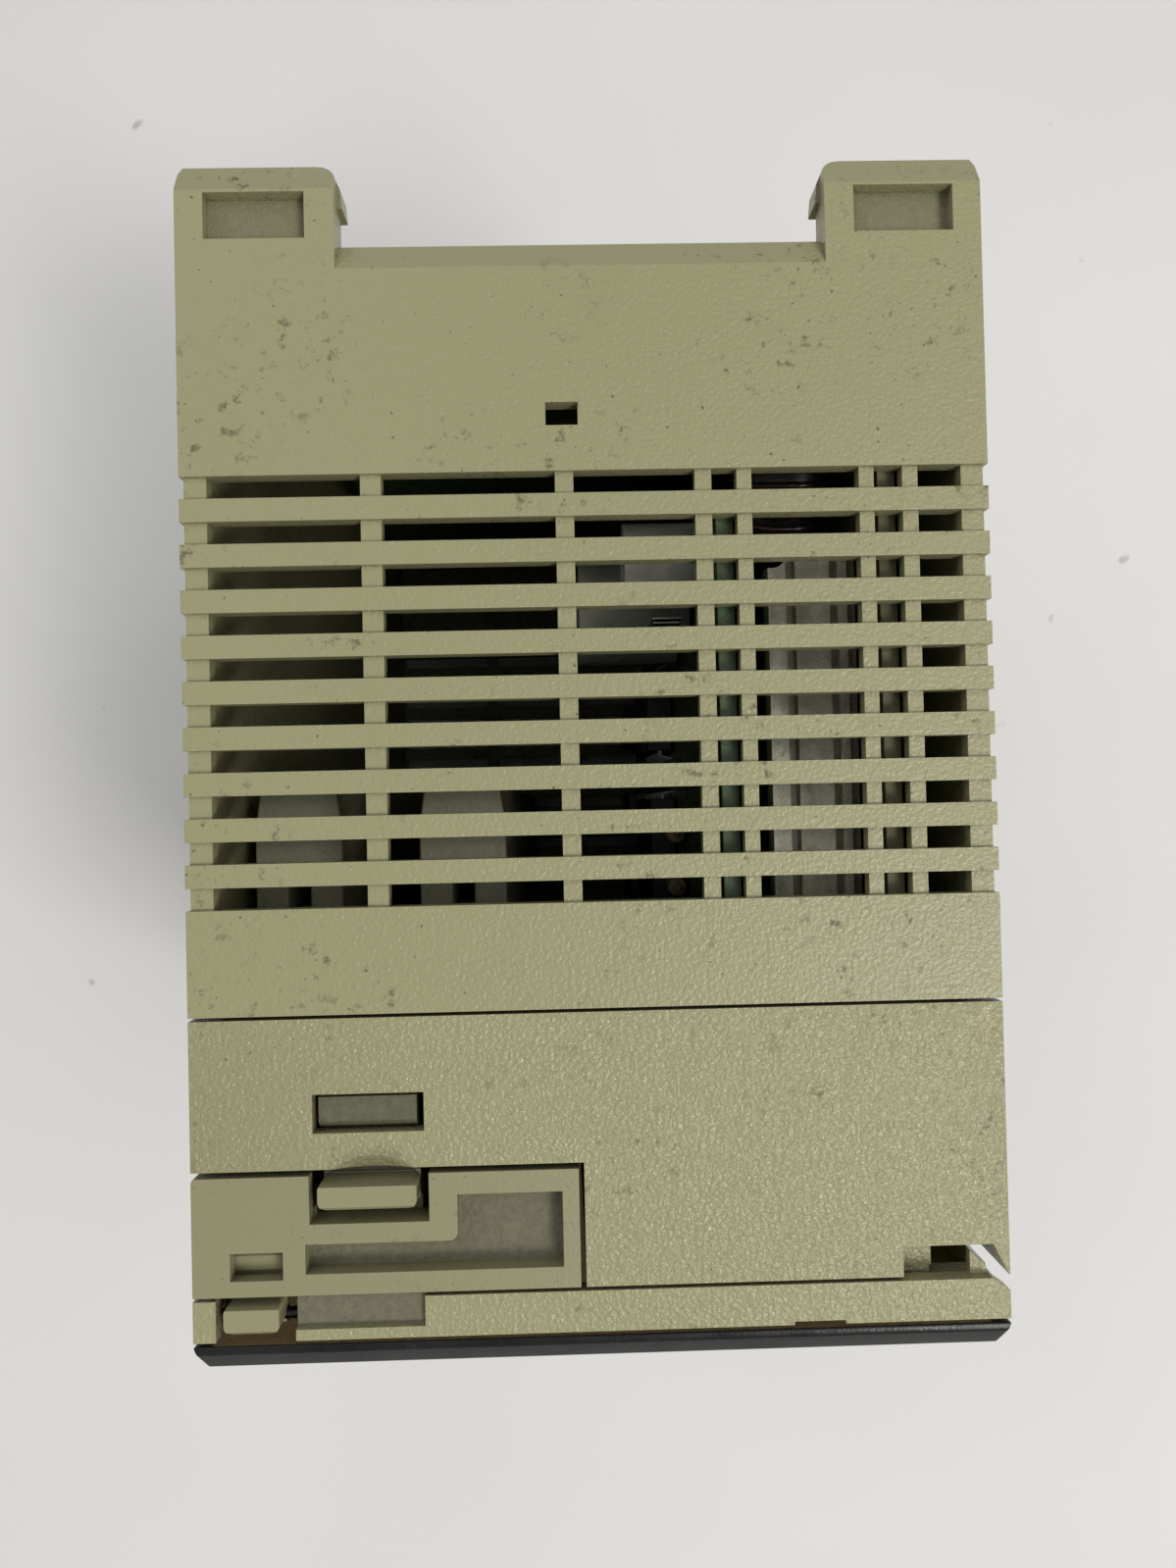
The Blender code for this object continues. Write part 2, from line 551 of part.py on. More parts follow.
def boards():
    make_object("main_board", lambda mesh: standing_board(mesh, MAIN_X, -33.7, 22.3), "green_board")
    make_object("board_link", blocks(((MAIN_X + BOARD + GAP, -39.3, 76), (18.0, -30.0, 118))),
                "black_plastic")
    power = make_object("power_board", lambda mesh: standing_board(mesh, POWER_X, -30.0, 34.0), "brown_board")
    cut(power, heat_sink_holes, "screw_holes")
    backplane = make_object("backplane_board", blocks(((-29, 38.0, 22), (29, 38.0 + BOARD, 108))),
                            "green_board")

    def screw_holes(mesh):
        for place in BOSS_PLACES:
            add_rod(mesh, place, "y", 1.8, 37, 41, 16)
    cut(backplane, screw_holes, "screw_holes")
    make_object("front_board", blocks(((1.0, -41.2, 72), (23.5, -41.2 + BOARD, 125))), "green_board")
    for name, x in (("interface_board", GUIDE_CENTRES["left"]), ("cpu_board", GUIDE_CENTRES["right"])):
        make_object(name, blocks(((x - BOARD / 2, -32.8, 5), (x + BOARD / 2, -13.5, 118))), "green_board")


def card_guides():
    for name, x in GUIDE_CENTRES.items():
        outline = [(x - 3.55, -2.7), (x + 3.55, -2.7), (x + 4.05, -6.2), (x + 4.05, -18.9),
                   (x + 1.0, -18.9),
                   (x + 1.0, -11.0), (x - 1.0, -11.0), (x - 1.0, -18.9), (x - 4.05, -18.9), (x - 4.05,
                                                                                             -6.2)]
        make_object("card_guide_" + name, lambda mesh, outline=outline: add_prism(mesh, outline, "z", 2.4,
                                                                                  121),
                    "grey_plastic")


def backplane_fittings():
    body = make_object("backplane_connector", blocks(
        ((-CONNECTOR_HALF, 39.9, CONNECTOR_LOW), (CONNECTOR_HALF, 50.2, CONNECTOR_HIGH))), "black_plastic")
    cut(body, blocks(((-2.6, 43.5, CONNECTOR_LOW + 3), (2.6, 51, CONNECTOR_HIGH - 3))), "contact_slot")
    for i, place in enumerate(BOSS_PLACES):
        add_screw("backplane_screw_%d" % (i + 1), "y", place, 37.7, -1, 2.6, 1.6, 1.2, 4.6)


def add_screw(name, axis, place, seat, side, head_r, head_h, shank_r, shank):
    """A slotted pan-head screw: its head lies on the given side of the seat, its shank on the other."""
    def fill(mesh):
        rings = [(side * head_h, head_r * 0.8), (side * head_h * 0.7, head_r), (0.0, head_r),
                 (0.0, shank_r),
                 (-side * shank, shank_r)]
        sides = 16
        order = AXIS_ORDER[axis]
        loops = []
        for offset, radius in rings:
            turns = [2 * math.pi * i / sides for i in range(sides)]
            loops.append([mesh.verts.new(Vector(order(
                place[0] + radius * math.cos(turn), place[1] + radius * math.sin(turn), seat + offset)) * MM)
                for turn in turns])
        for upper, lower in zip(loops, loops[1:]):
            for i in range(sides):
                mesh.faces.new((upper[i], upper[(i + 1) % sides], lower[(i + 1) % sides], lower[i]))
        mesh.faces.new(loops[0])
        mesh.faces.new(loops[-1])
    screw = make_object(name, fill, "steel")
    half = 0.4
    inner, outer = sorted((seat + side * head_h * 0.45, seat + side * (head_h + 0.5)))
    if axis == "y":
        slot = ((place[0] - head_r - 1, inner, place[1] - half),
                (place[0] + head_r + 1, outer, place[1] + half))
    else:
        slot = ((inner, place[0] - head_r - 1, place[1] - half),
                (outer, place[0] + head_r + 1, place[1] + half))
    cut(screw, blocks(slot), "slot")


HEAT_SINK_SCREWS = [(-20.0, 100.0), (8.0, 100.0)]


def heat_sink_holes(mesh):
    for place in HEAT_SINK_SCREWS:
        add_rod(mesh, place, "x", 1.8, 22.0, 28.0, 16)


def heat_sink():
    back = POWER_X - GAP
    face = back - SINK_PLATE
    ridges = [(SINK_LEFT + 0.1, 18.9), (19.8, 23.05), (23.8, 24.7)]
    profile = [(back, 62.0), (back, 119.9), (SINK_LEFT, 119.9), (SINK_LEFT, 118.4), (face, 118.4),
               (face, 62.0)]
    sink = make_object("heat_sink", lambda mesh: add_prism(mesh, profile, "y", -30.0, 19.4), "aluminium")
    join(sink, blocks(*[((x0, -30.5, 119.0), (x1, 19.0, 120.6)) for x0, x1 in ridges]), "ridges")
    cut(sink, lambda mesh: add_rod(mesh, (SINK_LEFT + 0.5, 19.0), "z", 1.5, 117, 122, 20), "corner_notch")
    cut(sink, heat_sink_holes, "screw_holes")
    for i, place in enumerate(HEAT_SINK_SCREWS):
        add_screw("heat_sink_screw_%d" % (i + 1), "x", place, POWER_X + BOARD + GAP, 1, 2.6, 1.6, 1.2, 4.2)
    make_object("power_transistor", blocks(((19.6, -8.0, 84.0), (23.7, 2.0, 99.0))), "black_plastic")


def ring(mesh, centre, axis, outer, inner, low, high, sides):
    """A flat-ended ring along an axis."""
    order = AXIS_ORDER[axis]
    loops = []
    for w, radius in ((low, outer), (high, outer), (high, inner), (low, inner)):
        loops.append([mesh.verts.new(Vector(order(
            centre[0] + radius * math.cos(2 * math.pi * i / sides),
            centre[1] + radius * math.sin(2 * math.pi * i / sides), w)) * MM) for i in range(sides)])
    for first, second in zip(loops, loops[1:] + loops[:1]):
        for i in range(sides):
            mesh.faces.new((first[i], first[(i + 1) % sides], second[(i + 1) % sides], second[i]))


def wound_parts():
    make_object("filter_choke", lambda mesh: ring(mesh, (28.0, 112.0), "x", 7.6, 3.2, 15.2, 24.4, 28),
                "ferrite", smooth=40)
    core = make_object("transformer_core", blocks(((14.6, 20.0, 62), (24.9, 36.5, 90))), "ferrite")
    cut(core, blocks(((10.0, 23.5, 66), (30.0, 26.0, 86)), ((10.0, 30.5, 66), (30.0, 33.0, 86))), "windows")
    make_object("transformer_coil", coil_sleeve, "brown_board")


def coil_sleeve(mesh):
    """The winding: a square sleeve round the core's middle leg, in the core's two windows."""
    outer = ((13.3, 23.8), (25.1, 23.8), (25.1, 32.7), (13.3, 32.7))
    low, high = 66.4, 85.6
    inner = ((14.3, 25.7), (25.0, 25.7), (25.0, 30.8), (14.3, 30.8))
    start = [mesh.verts.new(Vector((x, y, low)) * MM) for x, y in outer]
    start_in = [mesh.verts.new(Vector((x, y, low)) * MM) for x, y in inner]
    end = [mesh.verts.new(Vector((x, y, high)) * MM) for x, y in outer]
    end_in = [mesh.verts.new(Vector((x, y, high)) * MM) for x, y in inner]
    loops = (start, end, end_in, start_in)
    for first, second in zip(loops, loops[1:] + loops[:1]):
        for i in range(4):
            mesh.faces.new((first[i], first[(i + 1) % 4], second[(i + 1) % 4], second[i]))


def board_parts():
    for i, (y, z, radius, left) in enumerate(((18.8, 116.0, 4.1, 3.7), (17.0, 104.0, 5.0, -0.5),
                                              (17.0, 92.0, 5.0, -0.5))):
        make_object("capacitor_%d" % (i + 1), lambda mesh, y=y, z=z, radius=radius, left=left: add_rod(
            mesh, (y, z), "x", radius, left, MAIN_X - GAP, 24), "white_sleeve", smooth=40)
    make_object("processor_chip", blocks(((8.2, -18.0, 56), (MAIN_X - GAP, -4.0, 86))), "black_plastic")
    make_object("memory_chip", blocks(((8.2, 2.0, 60), (MAIN_X - GAP, 12.0, 84))), "black_plastic")


def front_fittings():
    lens = make_object("status_lens", blocks(((3.3, CASE_FRONT - 0.4, 117.3), (23.4, -42.0, 122.7))),
                       "clear_plastic")
    cut(lens, blocks(*[((5.6 + 3.9 * i, CASE_FRONT - 1, 117.0), (6.4 + 3.9 * i, CASE_FRONT + 0.2, 123.0))
                       for i in range(5)]), "grooves")
    make_object("mode_switch_body", blocks(((3.0, -43.2, 99.5), (9.0, -41.6, 112.5))), "black_plastic")
    knob = make_object("mode_switch_knob", blocks(((4.6, CASE_FRONT - 1.6, 104.3), (7.4, -43.6, 107.7))),
                       "grey_plastic", (6.0, CASE_FRONT, 106.0))
    cut(knob, blocks(((4.0, CASE_FRONT - 2, 105.7), (8.0, CASE_FRONT - 1.1, 106.3))), "finger_groove")
    port = make_object("programming_port", blocks(((12.8, CASE_FRONT + 0.2, 84.3), (22.2, -41.6, 104.7))),
                       "steel")

    def shell(mesh):
        add_prism(mesh, [(13.5, 86.6), (21.5, 85.6), (21.5, 103.4), (13.5, 102.4)], "y", CASE_FRONT - 2.4,
                  CASE_FRONT + 1)
    join(port, shell, "shell")

    def socket(mesh):
        add_prism(mesh, [(14.3, 87.5), (20.7, 86.7), (20.7, 102.3), (14.3, 101.5)], "y", CASE_FRONT - 3,
                  CASE_FRONT + 3.1)
    cut(port, socket, "socket")
    terminals()


def terminals():
    high = TERMINAL_LOW + TERMINAL_COUNT * TERMINAL_PITCH + 0.4
    block = make_object("terminal_block", blocks(((1.3, CASE_FRONT + 0.3, TERMINAL_LOW),
                                                  (23.4, -34.0, high))),
                        "black_plastic")
    wells = []
    places = []
    for i in range(TERMINAL_COUNT):
        middle = TERMINAL_LOW + 0.2 + TERMINAL_PITCH * (i + 0.5)
        wells.append(((2.6, CASE_FRONT - 1, middle - 4.6), (22.0, -40.0, middle + 4.6)))
        places.append((12.3, middle))
    cut(block, blocks(*wells), "wells")

    def holes(mesh):
        for place in places:
            add_rod(mesh, place, "y", 1.9, -41.0, -35.4, 16)
    cut(block, holes, "screw_holes")
    for i, place in enumerate(places):
        add_screw("terminal_screw_%d" % (i + 1), "y", place, -40.3, -1, 3.4, 2.0, 1.5, 4.4)


def port_bay():
    connector = make_object("console_connector", blocks(((-25.2, -42.5, 70.8), (-10.8, -33.1, 85.2))),
                            "black_plastic")
    cut(connector, blocks(((-23.8, -43.0, 71.8), (-12.2, -36.5, 84.2))), "socket")
    join(connector, blocks(((-22.0, -41.0, 77.2), (-14.0, -36.0, 78.8))), "contact_bar")
    tray = make_object("battery_holder", blocks(((-25.3, -40.5, 14.3), (-13.7, -28.2, 51.7))),
                       "grey_plastic")
    cut(tray, blocks(((-24.5, -42.0, 15.3), (-14.5, -29.2, 50.7))), "tray_hollow")
    make_object("backup_battery", lambda mesh: add_rod(mesh, (-19.5, -34.2), "z", 4.6, 16.0, 50.0, 24),
                "battery_wrap", smooth=40)
    cassette = make_object("memory_cassette", blocks(((-31.0, -43.4, 92.0), (-6.0, -35.5, 110.0))),
                           "grey_plastic")
    cut(cassette, blocks(*[((-29.5 + 1.6 * i, -44.0, 94.0), (-28.9 + 1.6 * i, -42.9,
                                                             108.0)) for i in range(4)]),
        "grip_grooves")


def main():
    clear_scene()
    rear_housing()
    front_case()
    port_cover()
    cover_latches()
    door()
    door_latch()
    boards()
    card_guides()
    backplane_fittings()
    heat_sink()
    wound_parts()
    board_parts()
    front_fittings()
    port_bay()


main()
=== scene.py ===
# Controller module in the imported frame: moulded shells, boards, windings and fittings, with finishes.
import json
import math

import bpy
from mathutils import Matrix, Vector

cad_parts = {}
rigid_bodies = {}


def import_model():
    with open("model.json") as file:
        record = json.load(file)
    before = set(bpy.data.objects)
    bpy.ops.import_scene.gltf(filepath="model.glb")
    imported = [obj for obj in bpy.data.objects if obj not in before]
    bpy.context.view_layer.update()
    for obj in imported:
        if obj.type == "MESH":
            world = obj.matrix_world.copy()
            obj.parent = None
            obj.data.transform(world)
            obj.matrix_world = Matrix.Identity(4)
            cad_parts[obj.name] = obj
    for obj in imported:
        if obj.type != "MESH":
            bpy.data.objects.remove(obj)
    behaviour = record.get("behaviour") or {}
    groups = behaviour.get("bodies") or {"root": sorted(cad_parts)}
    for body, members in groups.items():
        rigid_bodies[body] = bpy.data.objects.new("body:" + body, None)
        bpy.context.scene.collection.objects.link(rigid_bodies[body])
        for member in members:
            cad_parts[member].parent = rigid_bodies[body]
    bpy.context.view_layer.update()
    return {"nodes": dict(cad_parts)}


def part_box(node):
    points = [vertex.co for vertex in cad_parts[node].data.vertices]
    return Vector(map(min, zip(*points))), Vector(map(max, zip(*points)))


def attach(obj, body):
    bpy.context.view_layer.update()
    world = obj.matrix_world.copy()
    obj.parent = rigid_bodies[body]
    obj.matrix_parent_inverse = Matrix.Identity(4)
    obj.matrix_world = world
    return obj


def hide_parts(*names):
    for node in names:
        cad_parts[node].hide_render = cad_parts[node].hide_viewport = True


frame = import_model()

mm = 0.001
scene = bpy.context.scene
scene.view_settings.view_transform = "Standard"


# Selection and mesh helpers

def deselectAll():
    if bpy.context.object and bpy.context.object.mode != "OBJECT":
        bpy.ops.object.mode_set(mode="OBJECT")
    for obj in scene.objects:
        obj.select_set(False)


def activate(obj):
    deselectAll()
    bpy.context.view_layer.objects.active = obj
    obj.select_set(True)


def editAll(obj):
    activate(obj)
    bpy.ops.object.mode_set(mode="EDIT")
    bpy.ops.mesh.select_mode(type="VERT")
    bpy.ops.mesh.select_all(action="SELECT")


def leaveEdit():
    bpy.ops.object.mode_set(mode="OBJECT")


def pickFaces(obj, test):
    # picks the faces whose centre, in metres, and normal pass the test, and stays in edit mode
    activate(obj)
    bpy.ops.object.mode_set(mode="EDIT")
    bpy.ops.mesh.select_mode(type="FACE")
    bpy.ops.mesh.select_all(action="DESELECT")
    bpy.ops.object.mode_set(mode="OBJECT")
    for face in obj.data.polygons:
        face.select = bool(test(face.center, face.normal))
    bpy.ops.object.mode_set(mode="EDIT")


def addModifier(obj, kind, **settings):
    # adds a modifier and applies it at once
    activate(obj)
    modifier = obj.modifiers.new(kind.title(), kind)
    for key, value in settings.items():
        setattr(modifier, key, value)
    bpy.ops.object.modifier_apply(modifier=modifier.name)


def settle(obj, name=None):
    # puts the place of a piece into its mesh
    activate(obj)
    bpy.ops.object.transform_apply(location=True, rotation=True, scale=True)
    if name:
        obj.name = name
        obj.data.name = name
    return obj


def block(low, high, name="block"):
    deselectAll()
    low, high = Vector(low), Vector(high)
    bpy.ops.mesh.primitive_cube_add(size=1, location=(low + high) / 2, scale=high - low)
    return settle(bpy.context.object, name)


def drum(radius, length, centre, axis="Z", sides=32, name="drum"):
    deselectAll()
    turn = {"X": (0, math.pi / 2, 0), "Y": (math.pi / 2, 0, 0), "Z": (0, 0, 0)}[axis]
    bpy.ops.mesh.primitive_cylinder_add(vertices=sides, radius=radius, depth=length,
                                        location=centre, rotation=turn)
    return settle(bpy.context.object, name)


def shadeByAngle(obj, angle=40):
    activate(obj)
    bpy.ops.object.shade_smooth_by_angle(angle=math.radians(angle))


def softEdges(obj, width, segments=2, angle=30):
    addModifier(obj, "BEVEL", width=width, segments=segments, limit_method="ANGLE",
                angle_limit=math.radians(angle), use_clamp_overlap=True)
    shadeByAngle(obj)


def evenShading(obj):
    # keeps the large flat faces flat next to their eased edges
    addModifier(obj, "WEIGHTED_NORMAL", keep_sharp=True)


def joinAll(pieces, name):
    deselectAll()
    for piece in pieces:
        piece.select_set(True)
    bpy.context.view_layer.objects.active = pieces[0]
    bpy.ops.object.join()
    pieces[0].name = name
    pieces[0].data.name = name
    return pieces[0]


def copyOf(piece, offset):
    deselectAll()
    twin = piece.copy()
    twin.data = piece.data.copy()
    scene.collection.objects.link(twin)
    twin.location = offset
    return settle(twin)


def paint(obj, material):
    obj.data.materials.clear()
    obj.data.materials.append(material)


def place(obj, body, material=None, replaced=()):
    # hands a finished piece to its body
    if material:
        paint(obj, material)
    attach(obj, body)
    if replaced:
        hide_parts(*replaced)
    return obj


def shellFrom(node, name):
    # a merged copy of a CAD node, its flat faces joined up again
    piece = bpy.data.objects.new(name, frame["nodes"][node].data.copy())
    piece.data.name = name
    scene.collection.objects.link(piece)
    editAll(piece)
    bpy.ops.mesh.remove_doubles(threshold=0.002 * mm)
    bpy.ops.mesh.dissolve_limited(angle_limit=math.radians(0.5))
    bpy.ops.mesh.normals_make_consistent(inside=False)
    leaveEdit()
    return piece


# Shader helpers

def newMaterial(name, roughness=0.5, metallic=0.0, **sockets):
    material = bpy.data.materials.new(name)
    material.use_nodes = True
    tree = material.node_tree
    shader = tree.nodes["Principled BSDF"]
    shader.inputs["Roughness"].default_value = roughness
    shader.inputs["Metallic"].default_value = metallic
    for key, value in sockets.items():
        shader.inputs[key.replace("_", " ")].default_value = value
    return material, tree, shader


def place3d(tree, scale=(1, 1, 1), offset=(0, 0, 0)):
    coords = tree.nodes.new("ShaderNodeTexCoord")
    mapping = tree.nodes.new("ShaderNodeMapping")
    mapping.inputs["Scale"].default_value = scale
    mapping.inputs["Location"].default_value = offset
    tree.links.new(coords.outputs["Object"], mapping.inputs["Vector"])
    return mapping.outputs["Vector"]


def noise(tree, vector, scale, detail=3.0, rough=0.5, distortion=0.0):
    node = tree.nodes.new("ShaderNodeTexNoise")
    node.inputs["Scale"].default_value = scale
    node.inputs["Detail"].default_value = detail
    node.inputs["Roughness"].default_value = rough
    node.inputs["Distortion"].default_value = distortion
    tree.links.new(vector, node.inputs["Vector"])
    return node.outputs[0]


def cells(tree, vector, scale, feature="F1"):
    node = tree.nodes.new("ShaderNodeTexVoronoi")
    node.feature = feature
    node.inputs["Scale"].default_value = scale
    tree.links.new(vector, node.inputs["Vector"])
    return node.outputs["Distance"]


def ramp(tree, value, low, high, toLow=0.0, toHigh=1.0):
    # stretches the part from low to high over the new span
    node = tree.nodes.new("ShaderNodeMapRange")
    node.inputs["From Min"].default_value = low
    node.inputs["From Max"].default_value = high
    node.inputs["To Min"].default_value = toLow
    node.inputs["To Max"].default_value = toHigh
    tree.links.new(value, node.inputs["Value"])
    return node.outputs["Result"]


def maths(tree, operation, a, b):
    node = tree.nodes.new("ShaderNodeMath")
    node.operation = operation
    for socket, value in zip(node.inputs, (a, b)):
        if isinstance(value, (int, float)):
            socket.default_value = value
        else:
            tree.links.new(value, socket)
    return node.outputs["Value"]


def tint(tree, factor, a, b, mode="MIX"):
    node = tree.nodes.new("ShaderNodeMix")
    node.data_type = "RGBA"
    node.blend_type = mode
    for socket, value in ((node.inputs[0], factor), (node.inputs[6], a), (node.inputs[7], b)):
        if isinstance(value, (int, float)):
            socket.default_value = value
        elif isinstance(value, tuple):
            socket.default_value = (*value, 1.0)
        else:
            tree.links.new(value, socket)
    return node.outputs[2]


def bump(tree, shader, height, distance):
    node = tree.nodes.new("ShaderNodeBump")
    node.inputs["Strength"].default_value = 1.0
    node.inputs["Distance"].default_value = distance
    tree.links.new(height, node.inputs["Height"])
    tree.links.new(node.outputs["Normal"], shader.inputs["Normal"])


def crevice(tree, reach):
    # 0 in the open, 1 deep in a corner or a seam
    node = tree.nodes.new("ShaderNodeAmbientOcclusion")
    node.samples = 6
    node.inputs["Distance"].default_value = reach
    return maths(tree, "SUBTRACT", 1.0, node.outputs["AO"])


# Finishes

mouldedFinish = {
    "light": (0.286, 0.272, 0.146),
    "dark": (0.274, 0.260, 0.138),
    "dirt": (0.078, 0.070, 0.032),
    "seamDirtAndShade": (0.075, 0.066, 0.038),
    "driftSize": 16,
    "hazeSize": 120,
    "clusterSize": 95,
    "fleckSize": 760,
    "fleckStrength": 0.56,
    "dotSize": 1900,
    "dotStrength": 0.6,
    "seamReach": 1.5 * mm,
    "seamStrength": 0.72,
    "shineSize": 170,
    "grainSize": 2500,
    "grainDepth": 0.20 * mm,
}


def mouldedPlastic(name, light, dark, grainDepth, roughness=0.30, specks=1.0, offset=(0, 0, 0), smudgesAndShade=()):
    spec = mouldedFinish
    material, tree, shader = newMaterial(name, roughness, Specular_IOR_Level=0.42)
    vector = place3d(tree, offset=offset)
    drift = ramp(tree, noise(tree, vector, spec["driftSize"], 2), 0.3, 0.7)
    colour = tint(tree, drift, dark, light)
    haze = ramp(tree, noise(tree, vector, spec["hazeSize"], 5, 0.7), 0.42, 0.90, 0.0, 0.02)
    colour = tint(tree, haze, colour, spec["dirt"])
    # specks come in clusters, with a few single dots between them
    cluster = ramp(tree, noise(tree, vector, spec["clusterSize"], 2, 0.5), 0.48, 0.60)
    flecks = ramp(tree, noise(tree, vector, spec["fleckSize"], 4, 0.72), 0.575, 0.68)
    patches = maths(tree, "MULTIPLY", cluster, flecks)
    fleckStrength = spec["fleckStrength"] * specks
    colour = tint(tree, maths(tree, "MULTIPLY", patches, fleckStrength), colour, spec["dirt"])
    dots = ramp(tree, noise(tree, vector, spec["dotSize"], 1, 0.4), 0.745, 0.785)
    colour = tint(tree, maths(tree, "MULTIPLY", dots, spec["dotStrength"] * specks), colour, spec["dirt"])
    for darkSpot in smudgesAndShade:
        # darkens the colour round one spot: finger dirt at the thumb scoop, painted shade toward the left
        # front
        spot = tree.nodes.new("ShaderNodeVectorMath")
        spot.operation = "DISTANCE"
        tree.links.new(place3d(tree), spot.inputs[0])
        spot.inputs[1].default_value = darkSpot["centre"]
        ring = ramp(tree, spot.outputs["Value"], darkSpot["outer"], darkSpot["inner"])
        broken = ramp(tree, noise(tree, vector, 900, 4, 0.7), 0.25, 0.6, 0.45, 1.0)
        ring = maths(tree, "MULTIPLY", ring, broken)
        colour = tint(tree, maths(tree, "MULTIPLY", ring, darkSpot["strength"]), colour, spec["seamDirtAndShade"])
    # painted shade and dirt: ambient occlusion darkens the colour in corners, creases and seams
    seams = ramp(tree, crevice(tree, spec["seamReach"]), 0.34, 0.9)
    colour = tint(tree, maths(tree, "MULTIPLY", seams, spec["seamStrength"]), colour, spec["seamDirtAndShade"])
    tree.links.new(colour, shader.inputs["Base Color"])
    gloss = noise(tree, vector, spec["shineSize"], 3)
    shine = ramp(tree, gloss, 0.3, 0.7, roughness - 0.015, roughness + 0.02)
    shine = maths(tree, "ADD", shine, maths(tree, "MULTIPLY", patches, 0.3))
    tree.links.new(shine, shader.inputs["Roughness"])
    bump(tree, shader, noise(tree, vector, spec["grainSize"], 2, 0.5, 0.25), grainDepth)
    return material


def shadedFloor(name, dark, light):
    # the matt, coarser floor of a label recess, a pocket or a lever arm, in dark tones that paint the shade
    # falling there
    material, tree, shader = newMaterial(name, 0.75, Specular_IOR_Level=0.3)
    vector = place3d(tree)
    colour = tint(tree, ramp(tree, noise(tree, vector, 1300, 4, 0.7), 0.3, 0.7), dark, light)
    scuffs = ramp(tree, noise(tree, place3d(tree, (1, 5, 1)), 260, 5, 0.7, 0.8), 0.60, 0.74)
    colour = tint(tree, maths(tree, "MULTIPLY", scuffs, 0.25), colour, tuple(1.6 * c for c in light))
    tree.links.new(colour, shader.inputs["Base Color"])
    bump(tree, shader, noise(tree, vector, 2600, 3, 0.6), 0.16 * mm)
    return material


def smokedAcrylic():
    material, tree, shader = newMaterial("smoked_acrylic", 0.12, Specular_IOR_Level=0.16, IOR=1.45,
                                         Transmission_Weight=0.9)
    vector = place3d(tree)
    drift = ramp(tree, noise(tree, vector, 40, 2), 0.3, 0.7)
    colour = tint(tree, drift, (0.100, 0.070, 0.036), (0.125, 0.088, 0.046))
    tree.links.new(colour, shader.inputs["Base Color"])
    scratches = ramp(tree, noise(tree, place3d(tree, (1, 1, 14)), 420, 4, 0.7), 0.40, 0.8, 0.13, 0.30)
    tree.links.new(scratches, shader.inputs["Roughness"])
    bump(tree, shader, noise(tree, vector, 260, 2, 0.5), 0.012 * mm)
    return material


def blackMoulding(name="black_moulding", tone=(0.022, 0.022, 0.024), roughness=0.38, dusty=0.3, gloss=0.5):
    material, tree, shader = newMaterial(name, roughness, Specular_IOR_Level=gloss)
    vector = place3d(tree)
    drift = ramp(tree, noise(tree, vector, 130, 4), 0.35, 0.7)
    colour = tint(tree, drift, tone, tuple(2.1 * c for c in tone))
    dust = ramp(tree, noise(tree, vector, 700, 5, 0.7), 0.55, 0.75)
    colour = tint(tree, maths(tree, "MULTIPLY", dust, dusty), colour, (0.16, 0.15, 0.12))
    tree.links.new(colour, shader.inputs["Base Color"])
    tree.links.new(ramp(tree, noise(tree, vector, 220, 4), 0.3, 0.7, roughness - 0.08, roughness + 0.12),
                   shader.inputs["Roughness"])
    bump(tree, shader, noise(tree, vector, 3600, 3), 0.02 * mm)
    return material


def boardLaminate(name, mask, copper, dirt, coat=0.12, roughness=0.35):
    # solder-mask laminate: traces under the mask in some places, and a dusty film
    material, tree, shader = newMaterial(name, roughness, Specular_IOR_Level=0.35, Coat_Weight=coat,
                                         Coat_Roughness=0.2)
    vector = place3d(tree)
    weave = cells(tree, vector, 1500, "F1")
    colour = tint(tree, ramp(tree, weave, 0.1, 0.6, 0.0, 0.25), mask, tuple(1.6 * c for c in mask))
    edges = cells(tree, place3d(tree, (1, 1, 0.16)), 620, "DISTANCE_TO_EDGE")
    traces = ramp(tree, edges, 0.05, 0.11, 1.0, 0.0)
    region = ramp(tree, noise(tree, vector, 60, 2), 0.46, 0.52)
    traces = maths(tree, "MULTIPLY", traces, region)
    colour = tint(tree, maths(tree, "MULTIPLY", traces, 0.6), colour, copper)
    film = ramp(tree, noise(tree, vector, 240, 6, 0.7), 0.48, 0.72)
    colour = tint(tree, maths(tree, "MULTIPLY", film, 0.4), colour, dirt)
    tree.links.new(colour, shader.inputs["Base Color"])
    dull = maths(tree, "MULTIPLY", film, 0.35)
    tree.links.new(maths(tree, "ADD", dull, roughness), shader.inputs["Roughness"])
    bump(tree, shader, traces, 0.03 * mm)
    return material


def castAluminium(name, dark, light):
    # oxidised and dusty, so little of it still reads as metal
    material, tree, shader = newMaterial(name, 0.5, 0.15, Specular_IOR_Level=0.5)
    vector = place3d(tree)
    colour = tint(tree, ramp(tree, noise(tree, vector, 700, 4, 0.7), 0.3, 0.7), dark, light)
    stains = ramp(tree, noise(tree, place3d(tree, (1, 0.35, 1)), 210, 5, 0.65, 0.5), 0.50, 0.68)
    colour = tint(tree, maths(tree, "MULTIPLY", stains, 0.5), colour, (0.20, 0.185, 0.13))
    tree.links.new(colour, shader.inputs["Base Color"])
    tree.links.new(ramp(tree, noise(tree, vector, 800, 3), 0.3, 0.7, 0.34, 0.62), shader.inputs["Roughness"])
    bump(tree, shader, noise(tree, vector, 1900, 3, 0.7), 0.24 * mm)
    return material


